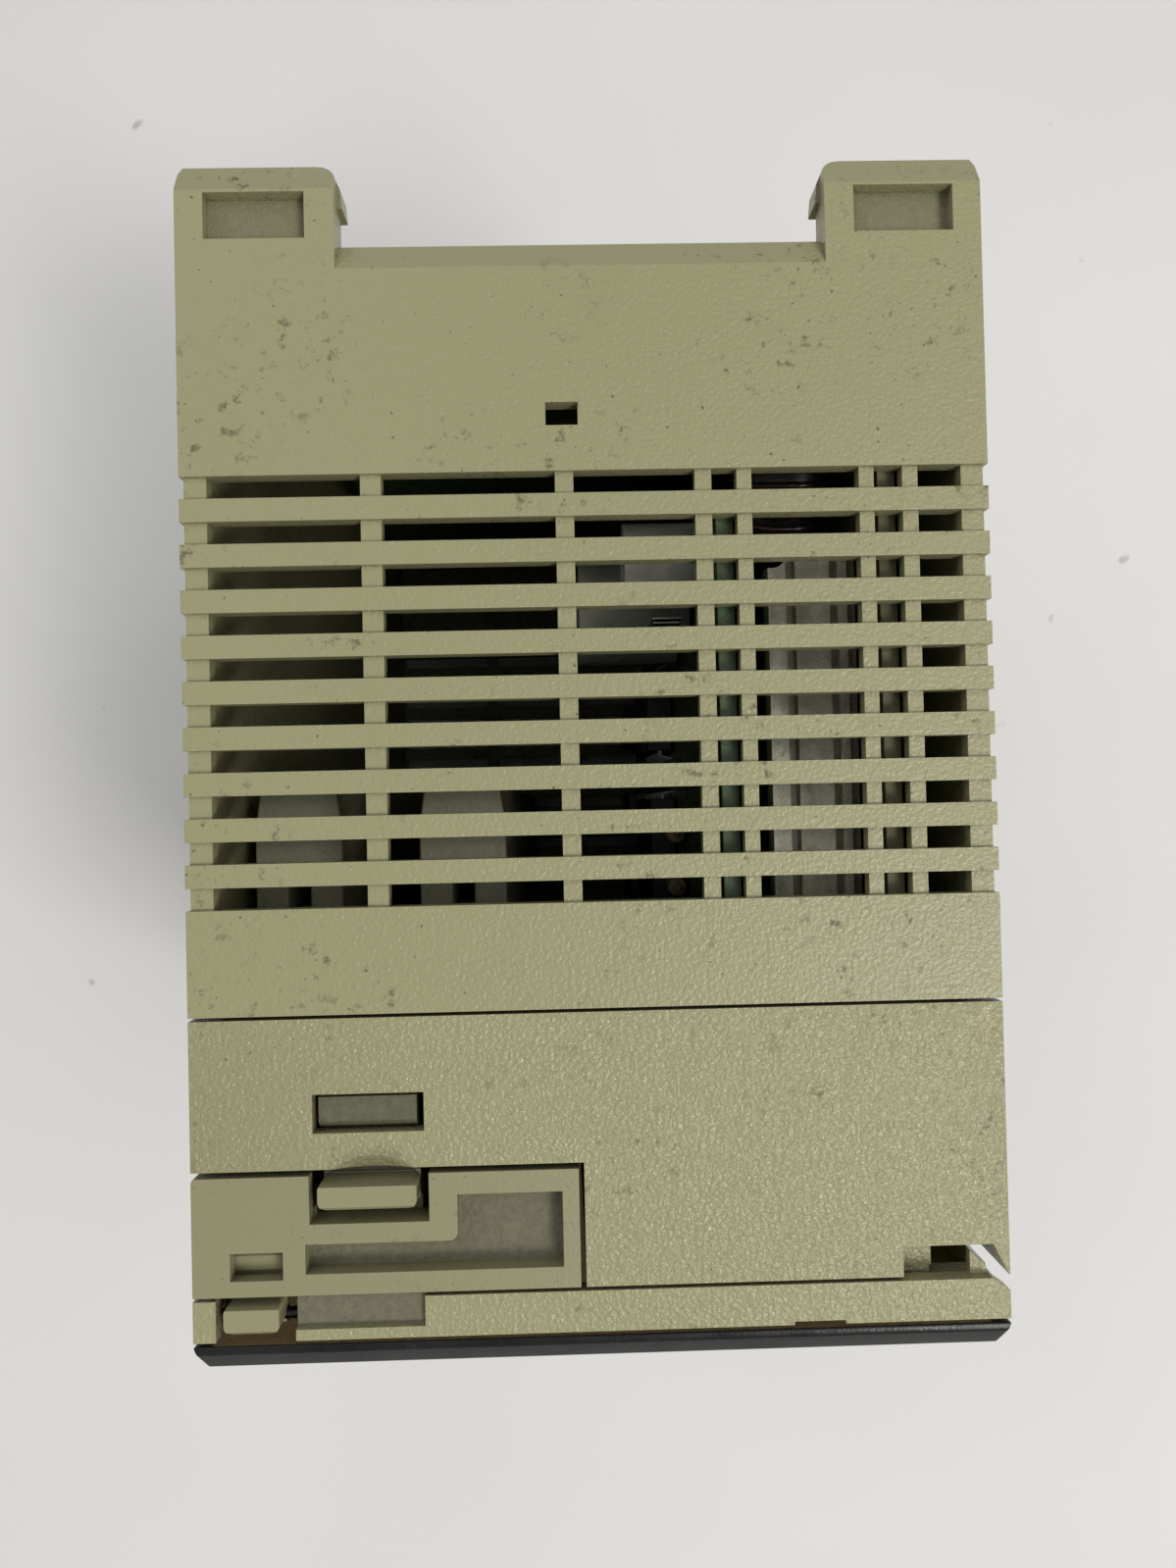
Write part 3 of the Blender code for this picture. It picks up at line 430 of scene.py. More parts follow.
def platedSteel(name="plated_steel", tone=(0.52, 0.51, 0.48)):
    material, tree, shader = newMaterial(name, 0.3, 1.0)
    vector = place3d(tree)
    drift = ramp(tree, noise(tree, vector, 500, 5, 0.6), 0.3, 0.7)
    colour = tint(tree, drift, tuple(0.72 * c for c in tone), tone)
    tarnish = ramp(tree, noise(tree, vector, 260, 5, 0.7), 0.55, 0.72)
    colour = tint(tree, maths(tree, "MULTIPLY", tarnish, 0.5), colour, (0.16, 0.12, 0.075))
    tree.links.new(colour, shader.inputs["Base Color"])
    tree.links.new(ramp(tree, noise(tree, vector, 900, 4), 0.3, 0.7, 0.22, 0.48), shader.inputs["Roughness"])
    bump(tree, shader, noise(tree, vector, 4200, 3), 0.012 * mm)
    return material


def goldContact():
    material, tree, shader = newMaterial("gold_contact", 0.22, 1.0)
    vector = place3d(tree)
    drift = ramp(tree, noise(tree, vector, 900, 4), 0.3, 0.7)
    colour = tint(tree, drift, (0.62, 0.42, 0.14), (0.83, 0.62, 0.26))
    tree.links.new(colour, shader.inputs["Base Color"])
    tree.links.new(ramp(tree, noise(tree, vector, 1600, 3), 0.3, 0.7, 0.16, 0.34), shader.inputs["Roughness"])
    bump(tree, shader, noise(tree, vector, 5200, 2), 0.01 * mm)
    return material


def whiteSleeve(name="sleeve_white", tone=(0.55, 0.54, 0.46)):
    material, tree, shader = newMaterial(name, 0.34, Specular_IOR_Level=0.5)
    vector = place3d(tree)
    drift = ramp(tree, noise(tree, vector, 90, 4), 0.35, 0.7)
    colour = tint(tree, drift, tone, tuple(0.86 * c for c in tone))
    dust = ramp(tree, noise(tree, vector, 520, 5, 0.7), 0.54, 0.72)
    colour = tint(tree, maths(tree, "MULTIPLY", dust, 0.35), colour, (0.22, 0.21, 0.17))
    tree.links.new(colour, shader.inputs["Base Color"])
    tree.links.new(ramp(tree, noise(tree, vector, 300, 4), 0.3, 0.7, 0.26, 0.46), shader.inputs["Roughness"])
    bump(tree, shader, noise(tree, vector, 1500, 3), 0.02 * mm)
    return material


def enamelWire():
    material, tree, shader = newMaterial("wire_enamel", 0.2, Specular_IOR_Level=0.6, Coat_Weight=0.6,
                                         Coat_Roughness=0.08)
    vector = place3d(tree)
    drift = ramp(tree, noise(tree, vector, 700, 4), 0.3, 0.7)
    colour = tint(tree, drift, (0.022, 0.012, 0.008), (0.065, 0.028, 0.013))
    tree.links.new(colour, shader.inputs["Base Color"])
    tree.links.new(ramp(tree, noise(tree, vector, 900, 3), 0.3, 0.7, 0.12, 0.32), shader.inputs["Roughness"])
    bump(tree, shader, noise(tree, vector, 2600, 2), 0.012 * mm)
    return material


def clearLens():
    material, tree, shader = newMaterial("clear_lens", 0.14, Transmission_Weight=0.6, IOR=1.49)
    vector = place3d(tree)
    drift = ramp(tree, noise(tree, vector, 120, 4), 0.3, 0.7)
    colour = tint(tree, drift, (0.60, 0.55, 0.44), (0.72, 0.68, 0.58))
    tree.links.new(colour, shader.inputs["Base Color"])
    tree.links.new(ramp(tree, noise(tree, vector, 500, 4), 0.3, 0.7, 0.08, 0.25), shader.inputs["Roughness"])
    bump(tree, shader, noise(tree, vector, 2000, 3), 0.01 * mm)
    return material


def batteryWrap():
    material, tree, shader = newMaterial("battery_sleeve", 0.3, Specular_IOR_Level=0.5, Coat_Weight=0.3,
                                         Coat_Roughness=0.12)
    vector = place3d(tree)
    drift = ramp(tree, noise(tree, vector, 60, 3), 0.35, 0.65)
    colour = tint(tree, drift, (0.05, 0.11, 0.19), (0.075, 0.15, 0.25))
    wear = ramp(tree, noise(tree, vector, 380, 5, 0.7), 0.58, 0.74)
    colour = tint(tree, maths(tree, "MULTIPLY", wear, 0.3), colour, (0.30, 0.31, 0.32))
    tree.links.new(colour, shader.inputs["Base Color"])
    tree.links.new(ramp(tree, noise(tree, vector, 400, 4), 0.3, 0.7, 0.22, 0.42), shader.inputs["Roughness"])
    bump(tree, shader, noise(tree, vector, 1300, 3), 0.025 * mm)
    return material


thumbSmudge = {
    "centre": (-0.0196, -0.0385, 0.130),
    "inner": 3.6 * mm,
    "outer": 5.6 * mm,
    "strength": 0.62,
}
# painted shade: a broad darkening toward the case's left front corner, where less light falls
shadedLeftFront = {
    "centre": (-0.0370, -0.0330, 0.130),
    "inner": 4.0 * mm,
    "outer": 25.0 * mm,
    "strength": 0.15,
}

fineGrain = mouldedFinish["grainDepth"]
oliveLight, oliveDark = mouldedFinish["light"], mouldedFinish["dark"]
finish = {
    "olive": mouldedPlastic("olive_moulding", oliveLight, oliveDark, fineGrain),
    # painted shade: the housing's tone is set about 3% darker than the case's, for the dimmer light toward
    # the rear; its grain, gloss and specks differ as well
    "oliveRear": mouldedPlastic("olive_housing_shaded", (0.278, 0.264, 0.142), (0.266, 0.252, 0.134),
                                0.55 * fineGrain, 0.34, 1.4),
    "oliveCase": mouldedPlastic("olive_case", oliveLight, oliveDark, 1.15 * fineGrain, 0.27,
                                smudgesAndShade=(thumbSmudge, shadedLeftFront)),
    "tab": mouldedPlastic("olive_tab", (0.262, 0.249, 0.138), (0.248, 0.235, 0.130), 0.02 * mm, 0.24, 0.5),
    "oliveFront": mouldedPlastic("olive_cover", (0.244, 0.231, 0.128), (0.232, 0.220, 0.120), 0.04 * mm, 0.40,
                                 offset=(0.31, 0.17, 0.0)),
    "grey": mouldedPlastic("grey_moulding", (0.235, 0.228, 0.150), (0.20, 0.193, 0.125), 0.10 * mm,
                           0.45, 0.7),
    # painted shade: darker floors for the label recesses and the lug pockets
    "label": shadedFloor("shaded_matt_label_floor", (0.118, 0.112, 0.070), (0.168, 0.160, 0.102)),
    "pocket": shadedFloor("shaded_pocket", (0.165, 0.158, 0.090), (0.200, 0.192, 0.112)),
    # painted shade: darker tops for the latch lever arms sunk below the surface
    "arm": shadedFloor("shaded_arm", (0.088, 0.083, 0.050), (0.135, 0.128, 0.080)),
    "smoked": smokedAcrylic(),
    "smokedRim": blackMoulding("smoked_rim", (0.006, 0.0055, 0.005), 0.24, 0.07, 0.26),
    "black": blackMoulding(),
    "ferrite": blackMoulding("ferrite_grey", (0.035, 0.034, 0.033), 0.3),
    "green": boardLaminate("green_laminate", (0.040, 0.072, 0.026), (0.075, 0.120, 0.045),
                           (0.095, 0.095, 0.050)),
    "brown": boardLaminate("brown_laminate", (0.100, 0.094, 0.046), (0.19, 0.17, 0.085),
                           (0.028, 0.027, 0.015), 0.0, 0.6),
    "aluminium": castAluminium("sink_aluminium", (0.58, 0.55, 0.42), (0.82, 0.79, 0.62)),
    # painted shade: darker aluminium on the floors of the sink's grooves
    "sinkShade": castAluminium("sink_groove_shade", (0.20, 0.19, 0.14), (0.30, 0.285, 0.21)),
    "steel": platedSteel(),
    "darkSteel": platedSteel("blackened_steel", (0.060, 0.055, 0.048)),
    "gold": goldContact(),
    "sleeve": whiteSleeve(),
    "enamel": enamelWire(),
    "lens": clearLens(),
    "battery": batteryWrap(),
    "resistor": whiteSleeve("resistor_lacquer", (0.33, 0.25, 0.15)),
    "ceramic": whiteSleeve("ceramic_brown", (0.30, 0.14, 0.06)),
    "lampGreen": blackMoulding("lamp_green", (0.02, 0.11, 0.035), 0.2),
    "lampRed": blackMoulding("lamp_red", (0.16, 0.012, 0.010), 0.2),
    "lampAmber": blackMoulding("lamp_amber", (0.22, 0.10, 0.012), 0.2),
}
print("finishes made:", len(finish))


# Shells: moulded parts and the heat sink, with their edges eased

# node: finish, body, width of the eased edge in mm, slot
shellEdges = {
    "rear_housing": ("oliveRear", "root", 0.22, "olive_plastic"),
    "front_case": ("oliveCase", "root", 0.22, "olive_plastic"),
    "port_cover": ("oliveFront", "root", 0.28, "olive_plastic"),
    "door_frame": ("olive", "door", 0.22, "olive_plastic"),
    "door_window": ("smoked", "door", 0.18, "smoked_plastic"),
    "door_latch": ("tab", "door_latch_lever", 0.22, "olive_plastic"),
    "cover_latch_top": ("tab", "cover_latch_top_lever", 0.22, "olive_plastic"),
    "cover_latch_bottom": ("tab", "cover_latch_bottom_lever", 0.22, "olive_plastic"),
    "card_guide_left": ("grey", "root", 0.25, "grey_plastic"),
    "card_guide_right": ("grey", "root", 0.25, "grey_plastic"),
    "heat_sink": ("aluminium", "root", 0.15, "aluminium"),
    "mode_switch_knob": ("grey", "mode_knob", 0.15, "grey_plastic"),
}
# corners in mm; up is the side that the tab's thumb face looks to
tabs = {
    "door_latch": {
        "radius": 0.8, "slope": 0.45, "up": 1,
        "low": (-32.3, -48.75, 127.75), "high": (-27.6, -46.2, 130.6),
    },
    "cover_latch_top": {
        "radius": 0.8, "slope": 0.5, "up": 1,
        "low": (-24.2, -38.5, 127.35), "high": (-15.8, -36.0, 130.6),
    },
    "cover_latch_bottom": {
        "radius": 0.8, "slope": 0.5, "up": -1,
        "low": (-24.2, -38.5, -0.2), "high": (-15.8, -36.0, 2.65),
    },
}


def carve(obj, cutter):
    addModifier(obj, "BOOLEAN", operation="DIFFERENCE", object=cutter, solver="EXACT")
    bpy.data.objects.remove(cutter)


def roundTab(obj, spec):
    # slopes the rear face of a thumb tab and rounds its four upright corners
    low, high = Vector(spec["low"]) * mm, Vector(spec["high"]) * mm
    radius = spec["radius"] * mm
    slope = spec["slope"] * mm
    spare = 0.2 * mm
    wedge = block((low.x - spare, high.y - slope, low.z + 0.3 * mm),
                  (high.x + spare, high.y + 0.4 * mm, high.z - 0.1 * mm), "wedge")
    pickFaces(wedge, lambda c, n: n.z * spec["up"] < -0.9)
    bpy.ops.transform.translate(value=(0, slope - 0.05 * mm, 0))
    leaveEdit()
    carve(obj, wedge)
    tall = high.z - low.z
    for x, inX in ((low.x, 1), (high.x, -1)):
        for y, inY in ((low.y, 1), (high.y, -1)):
            xs = sorted((x - inX * spare, x + inX * radius))
            ys = sorted((y - inY * spare, y + inY * radius))
            corner = block((xs[0], ys[0], low.z), (xs[1], ys[1], high.z), "corner")
            pinPlace = (x + inX * radius, y + inY * radius, (low.z + high.z) / 2)
            carve(corner, drum(radius, tall + 1 * mm, pinPlace, sides=48))
            carve(obj, corner)


shells = {}
for node, (tone, body, width, slotName) in shellEdges.items():
    shell = shellFrom(node, node + "_shell")
    if node in tabs:
        roundTab(shell, tabs[node])
    softEdges(shell, width * mm, 2)
    evenShading(shell)
    shells[node] = place(shell, body, finish[tone], (node,))
    print("shell", node, len(shell.data.polygons))

fittingEdge = 0.12 * mm
nodeFinish = {
    "cover_latch_pin_top": "steel", "cover_latch_pin_bottom": "steel",
    "cover_latch_spring_top": "steel", "cover_latch_spring_bottom": "steel",
    "upper_hinge_pin": "steel", "lower_hinge_pin": "steel",
    "main_board": "green", "power_board": "brown", "backplane_board": "green", "front_board": "green",
    "cpu_board": "green", "interface_board": "green", "board_link": "black",
    "backplane_connector": "black", "power_transistor": "black",
    "transformer_core": "ferrite", "processor_chip": "black", "memory_chip": "black",
    "status_lens": "lens", "mode_switch_body": "black",
    "programming_port": "steel", "terminal_block": "black",
    "console_connector": "black", "battery_holder": "grey", "memory_cassette": "grey",
}


def easedFitting(node, body, tone):
    piece = shellFrom(node, node + "_shell")
    softEdges(piece, fittingEdge, 2)
    evenShading(piece)
    place(piece, body, finish[tone], (node,))


for node, tone in nodeFinish.items():
    easedFitting(node, "root", tone)
easedFitting("door_latch_pin", "door", "darkSteel")
print("fittings eased")


# Other tones on some faces: painted shade on the floors of recesses, the sink's grooves and the lever arms;
# the window's dark rim

def paintFaces(obj, material, test):
    # the test gets each face's centre, in mm, and its normal
    obj.data.materials.append(material)
    index = len(obj.data.materials) - 1
    for face in obj.data.polygons:
        if test(face.center / mm, face.normal):
            face.material_index = index


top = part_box("rear_housing")[1].z / mm
recess = {
    "labelDepth": 2.2,
    "doorLabelDepth": 0.75,
    "pocketFront": 44.5,
    "pocketDepths": (0.5, 2.5),
    "grooveLevel": 120.2,
    "armFront": -35.9,
    "close": 0.05,
}


def labelFace(level):
    return lambda c, n: n.z * (1 if level > top / 2 else -1) > 0.9 and abs(c.z - level) < recess["close"]


def pocketFace(sign, level):
    shallow, deep = recess["pocketDepths"]
    return lambda c, n: n.z * sign > 0.9 and c.y > recess["pocketFront"] and shallow < abs(c.z - level) < deep


def doorLabelFace(c, n):
    level = top - recess["doorLabelDepth"]
    return n.z > 0.9 and -27.5 < c.x < -15 and abs(c.z - level) < recess["close"]


# painted shade on the floors of the label recesses and the lug pockets
for sign, level in ((1, top), (-1, 0.0)):
    paintFaces(shells["port_cover"], finish["label"], labelFace(level - sign * recess["labelDepth"]))
    paintFaces(shells["rear_housing"], finish["pocket"], pocketFace(sign, level))
# painted shade on the floor of the door's label recess
paintFaces(shells["door_frame"], finish["label"], doorLabelFace)
paintFaces(shells["door_window"], finish["smokedRim"], lambda c, n: abs(n.x) > 0.3 or abs(n.z) > 0.3)
# painted shade on the floors of the sink's grooves
paintFaces(shells["heat_sink"], finish["sinkShade"], lambda c, n: n.z > 0.9 and c.z < recess["grooveLevel"])
# painted shade on the sunk latch lever arms
for name in ("cover_latch_top", "cover_latch_bottom"):
    paintFaces(shells[name], finish["arm"], lambda c, n: c.y > recess["armFront"])


# Screws: a domed head with a slot, a plain shank

screwSpec = {
    "sides": 40,
    "slot": 0.8 * mm,
    "slotDepth": 0.55,  # share of the head
    "dome": 0.45 * mm,
    "headDepth": 2.0 * mm,
    "headShare": 0.3,  # of the whole length, at most
    "shankShare": 0.44,  # of the head's radius
}


def screw(node, axis):
    # axis is the direction from the tip to the head
    low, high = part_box(node)
    along = "XYZ".index(axis[-1])
    sign = -1 if axis[0] == "-" else 1
    centre = (low + high) / 2
    length = (high - low)[along]
    across = [i for i in range(3) if i != along]
    headRadius = (high - low)[across[0]] / 2
    headDepth = min(screwSpec["headDepth"], screwSpec["headShare"] * length)
    middle = centre.copy()
    middle[along] = (high if sign > 0 else low)[along] - sign * headDepth / 2
    head = drum(headRadius, headDepth, middle, axis[-1], screwSpec["sides"])
    softEdges(head, screwSpec["dome"], 4)
    lowCut, highCut = middle.copy(), middle.copy()
    lowCut[across[0]] -= headRadius * 1.2
    highCut[across[0]] += headRadius * 1.2
    lowCut[across[1]] -= screwSpec["slot"] / 2
    highCut[across[1]] += screwSpec["slot"] / 2
    lowCut[along] = middle[along] + sign * headDepth * (0.5 - screwSpec["slotDepth"])
    highCut[along] = middle[along] + sign * headDepth
    ends = list(zip(lowCut, highCut))
    carve(head, block([min(pair) for pair in ends], [max(pair) for pair in ends]))
    shankMiddle = centre.copy()
    shankMiddle[along] = centre[along] - sign * headDepth / 2
    shankRadius = headRadius * screwSpec["shankShare"]
    shank = drum(shankRadius, length - headDepth - 0.02 * mm, shankMiddle, axis[-1], 24)
    softEdges(shank, 0.2 * mm, 2)
    piece = joinAll([head, shank], node + "_turned")
    shadeByAngle(piece, 35)
    place(piece, "root", finish["steel"], (node,))


for i in range(4):
    screw("backplane_screw_%d" % (i + 1), "-Y")
for i in range(2):
    screw("heat_sink_screw_%d" % (i + 1), "X")
for i in range(5):
    screw("terminal_screw_%d" % (i + 1), "-Y")
print("screws turned")


# Capacitors: a sleeved can with a bare, sunk top

capacitorSpec = {"sides": 48, "rim": 0.5 * mm, "topInset": 0.7 * mm, "topSink": 0.25 * mm}
for node in ("capacitor_1", "capacitor_2", "capacitor_3"):
    low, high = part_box(node)
    radius = (high.z - low.z) / 2
    can = drum(radius, high.x - low.x, (low + high) / 2, "X", capacitorSpec["sides"])
    leftEnd = low.x
    pickFaces(can, lambda c, n: n.x < -0.9)
    bpy.ops.mesh.inset(thickness=capacitorSpec["topInset"], depth=0)
    bpy.ops.mesh.inset(thickness=0.05 * mm, depth=-capacitorSpec["topSink"])
    leaveEdit()
    softEdges(can, capacitorSpec["rim"], 4)
    paint(can, finish["sleeve"])
    paintFaces(can, finish["aluminium"], lambda c, n: n.x < -0.9 and c.x > leftEnd / mm + 0.05)
    can.name = can.data.name = node + "_can"
    place(can, "root", replaced=(node,))
print("capacitors made")


# Filter choke: ferrite ring under a layer of enamelled wire

chokeSpec = {"turns": 30, "wire": 0.36 * mm, "bore": 3.2 * mm}


def filterChoke():
    low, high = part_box("filter_choke")
    centre = (low + high) / 2
    wire = chokeSpec["wire"]
    outer = (high.z - low.z) / 2
    inner = chokeSpec["bore"]
    thick = (outer - inner) / 2
    wide = (high.x - low.x) / 2
    middleRadius = (outer + inner) / 2
    deselectAll()
    bpy.ops.mesh.primitive_torus_add(major_radius=middleRadius, minor_radius=thick - 2 * wire,
                                     major_segments=56, minor_segments=20,
                                     rotation=(0, math.pi / 2, 0), location=centre)
    core = bpy.context.object
    core.scale.z = (wide - 2 * wire) / (thick - 2 * wire)
    settle(core)
    turns = []
    for i in range(chokeSpec["turns"]):
        angle = 2 * math.pi * i / chokeSpec["turns"]
        deselectAll()
        bpy.ops.mesh.primitive_torus_add(major_radius=thick - wire, minor_radius=wire,
                                         major_segments=28, minor_segments=8)
        turn = bpy.context.object
        turn.scale.x = (wide - wire) / (thick - wire)
        settle(turn)
        turn.rotation_euler = (angle, 0, 0)
        turn.location = centre + Vector((0, middleRadius * math.cos(angle), middleRadius * math.sin(angle)))
        turns.append(settle(turn))
    winding = joinAll(turns, "choke_winding")
    shadeByAngle(winding, 60)
    shadeByAngle(core, 60)
    place(winding, "root", finish["enamel"])
    core.name = core.data.name = "choke_ring"
    place(core, "root", finish["ferrite"], ("filter_choke",))


filterChoke()
print("choke wound")


# Transformer coil: flat layers of wire on the bobbin

coilSpec = {"layers": 22, "wire": 0.42 * mm, "cornerRound": 0.25}


def transformerCoil():
    low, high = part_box("transformer_coil")
    centre = (low + high) / 2
    half = (high - low) / 2
    wire = coilSpec["wire"]
    step = (high.z - low.z - 2 * wire) / (coilSpec["layers"] - 1)
    slim = 0.06
    deselectAll()
    bpy.ops.mesh.primitive_torus_add(major_radius=1.0, minor_radius=slim, major_segments=24, minor_segments=8)
    loop = settle(bpy.context.object)
    for vertex in loop.data.vertices:
        # the round loop is pushed out to a square one with rounded corners
        flat = Vector((vertex.co.x, vertex.co.y))
        reach = flat.length
        squared = flat / max(abs(flat.x), abs(flat.y))
        rounded = squared.lerp(flat / reach, coilSpec["cornerRound"])
        thick = (reach - 1.0) / slim * wire
        vertex.co.x = centre.x + rounded.x * (half.x - wire) + rounded.x * thick
        vertex.co.y = centre.y + rounded.y * (half.y - wire) + rounded.y * thick
        vertex.co.z = vertex.co.z / slim * wire + low.z + wire
    loops = [loop] + [copyOf(loop, (0, 0, step * i)) for i in range(1, coilSpec["layers"])]
    piece = joinAll(loops, "transformer_winding")
    shadeByAngle(piece, 60)
    place(piece, "root", finish["enamel"], ("transformer_coil",))


transformerCoil()
print("transformer wound")


# Backup cell: sleeved body with a nub and crimped ends

cellSpec = {
    "nub": 1.2 * mm,
    "nubInset": 1.6 * mm,
    "nubRise": 1.4 * mm,
    "crimp": 0.9 * mm,
    "crimpSink": 0.3 * mm,
}


def backupCell():
    low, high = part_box("backup_battery")
    centre = (low + high) / 2
    radius = (high.x - low.x) / 2
    tall = high.z - low.z - cellSpec["nub"]
    cell = drum(radius, tall, centre - Vector((0, 0, cellSpec["nub"] / 2)), "Z", 56)
    for side in (1, -1):
        pickFaces(cell, lambda c, n, side=side: n.z * side > 0.9)
        bpy.ops.mesh.inset(thickness=cellSpec["crimp"], depth=0)
        bpy.ops.mesh.inset(thickness=0.1 * mm, depth=-cellSpec["crimpSink"])
        leaveEdit()
    pickFaces(cell, lambda c, n: n.z > 0.9 and math.hypot(c.x - centre.x, c.y - centre.y) < 0.1 * mm)
    bpy.ops.mesh.inset(thickness=cellSpec["nubInset"], depth=0)
    bpy.ops.mesh.extrude_region_move(TRANSFORM_OT_translate={"value": (0, 0, cellSpec["nubRise"])})
    leaveEdit()
    softEdges(cell, 0.25 * mm, 3)
    paint(cell, finish["battery"])
    axisPlace = centre / mm
    bare = radius / mm - 0.95
    paintFaces(cell, finish["steel"], lambda c, n: math.hypot(c.x - axisPlace.x, c.y - axisPlace.y) < bare)
    cell.name = cell.data.name = "backup_cell"
    place(cell, "root", replaced=("backup_battery",))


backupCell()
print("cell made")


# Connector contacts: a tapered spring tongue, repeated in rows

contactSpec = {
    "pitch": 2.54 * mm,
    "rows": 19,
    "width": 0.9 * mm,
    "thick": 0.45 * mm,
    "length": 4.6 * mm,
    "tip": 0.7 * mm,
    "apart": 1.95 * mm,  # each column from the middle
    "behind": 6.68 * mm,  # from the connector's rear face to the tongues' feet
}


def springTongue(base):
    width, thick, length = (contactSpec[key] for key in ("width", "thick", "length"))
    tongue = block(base - Vector((thick / 2, 0, width / 2)), base + Vector((thick / 2, length, width / 2)))
    pickFaces(tongue, lambda c, n: n.y > 0.9)
    bpy.ops.mesh.extrude_region_move(TRANSFORM_OT_translate={"value": (0, contactSpec["tip"], 0)})
    bpy.ops.transform.resize(value=(0.35, 1, 0.45))
    leaveEdit()
    softEdges(tongue, 0.08 * mm, 2)
    return tongue


def backplaneContacts():
    low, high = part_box("backplane_connector")
    rows, pitch, apart = (contactSpec[key] for key in ("rows", "pitch", "apart"))
    start = Vector(((low.x + high.x) / 2, high.y - contactSpec["behind"], (low.z + high.z) / 2))
    first = springTongue(start - Vector((apart, 0, (rows - 1) / 2 * pitch)))
    contacts = [first]
    for row in range(rows):
        for column in (0, 1):
            if row or column:
                contacts.append(copyOf(first, (2 * column * apart, 0, row * pitch)))
    place(joinAll(contacts, "backplane_contacts"), "root", finish["gold"])


def consoleContacts():
    spec = {
        "strips": 8, "pitch": 0.95 * mm, "width": 0.5 * mm, "thick": 0.07 * mm, "length": 3.6 * mm,
        "sunk": 1.6 * mm, "tongueHalf": 0.8 * mm,
    }
    low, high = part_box("console_connector")
    middle = Vector(((low.x + high.x) / 2, low.y + spec["sunk"], (low.z + high.z) / 2))
    strips = []
    for side in (1, -1):
        for i in range(spec["strips"]):
            x = middle.x + (i - (spec["strips"] - 1) / 2) * spec["pitch"]
            z = middle.z + side * (spec["tongueHalf"] + spec["thick"] / 2)
            strip = block((x - spec["width"] / 2, middle.y, z - spec["thick"] / 2),
                          (x + spec["width"] / 2, middle.y + spec["length"], z + spec["thick"] / 2))
            strips.append(strip)
    piece = joinAll(strips, "console_contacts")
    softEdges(piece, 0.02 * mm, 1)
    place(piece, "root", finish["gold"])


def portPins():
    spec = {
        "pitch": 1.15 * mm, "counts": (13, 12), "radius": 0.32 * mm, "length": 2.6 * mm,
        "sunk": 1.7 * mm, "apart": 2.6 * mm,
    }
    low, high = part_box("programming_port")
    middle = (low + high) / 2
    front = low.y
    base = block((middle.x - 2.9 * mm, front + 2.2 * mm, middle.z - 7.1 * mm),
                 (middle.x + 2.9 * mm, front + 5.4 * mm, middle.z + 6.9 * mm), "port_insulator")
    pickFaces(base, lambda c, n: n.y < -0.9)
    bpy.ops.mesh.inset(thickness=0.5 * mm, depth=-0.25 * mm)
    leaveEdit()
    softEdges(base, 0.2 * mm, 2)
    place(base, "root", finish["black"])
    pins = []
    for column, count in enumerate(spec["counts"]):
        for i in range(count):
            x = middle.x + (column - 0.5) * spec["apart"]
            z = middle.z + (i - (count - 1) / 2) * spec["pitch"]
            pins.append(drum(spec["radius"], spec["length"], (x, front + spec["sunk"], z), "Y", 12))
    piece = joinAll(pins, "port_pins")
    softEdges(piece, 0.1 * mm, 1)
    place(piece, "root", finish["gold"])


backplaneContacts()
consoleContacts()
portPins()
print("contacts made")


# Terminal plates under the clamp screws

def terminalPlates():
    spec = {
        "wide": 17.6 * mm, "tall": 7.6 * mm, "thick": 0.24 * mm, "sunk": 2.0 * mm, "gap": 0.03 * mm,
        "rib": 0.7 * mm, "ribPlace": 6.2 * mm, "ribHigh": 0.5 * mm, "ribShort": 0.6 * mm,
    }
    plates = []
    for i in range(5):
        low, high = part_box("terminal_screw_%d" % (i + 1))
        middle = (low + high) / 2
        seat = low.y + spec["sunk"]
        wide, tall = spec["wide"] / 2, spec["tall"] / 2
        front = seat + spec["gap"]
        plates.append(block((middle.x - wide, front, middle.z - tall),
                            (middle.x + wide, front + spec["thick"], middle.z + tall)))
        for side in (-1, 1):
            x = middle.x + side * spec["ribPlace"]
            reach = tall - spec["ribShort"]
            plates.append(block((x - spec["rib"] / 2, seat - spec["ribHigh"], middle.z - reach),
                                (x + spec["rib"] / 2, seat + 2 * spec["gap"], middle.z + reach)))
    piece = joinAll(plates, "terminal_plates")
    softEdges(piece, 0.08 * mm, 2)
    place(piece, "root", finish["steel"])


terminalPlates()
print("terminal plates made")


# Status lamps behind the lens

def statusLamps():
    low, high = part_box("status_lens")
    spec = {
        "tones": ("lampGreen", "lampGreen", "lampAmber", "lampRed"),
        "first": 4.65, "pitch": 3.9, "radius": 1.15 * mm, "deep": 0.55 * mm, "behind": 0.38 * mm,
    }
    for i, tone in enumerate(spec["tones"]):
        x = low.x + (spec["first"] + spec["pitch"] * i) * mm
        middle = (x, high.y + spec["behind"], (low.z + high.z) / 2)
        lamp = drum(spec["radius"], spec["deep"], middle, "Y", 28, "status_lamp_%d" % (i + 1))
        softEdges(lamp, 0.22 * mm, 3)
        place(lamp, "root", finish[tone])


statusLamps()
print("lamps made")


# Legs along the long sides of a chip that stands on the main board

legSpec = {"endGap": 0.6 * mm, "out": 0.55 * mm, "half": 0.22 * mm, "high": 1.6 * mm, "under": 1.25 * mm}


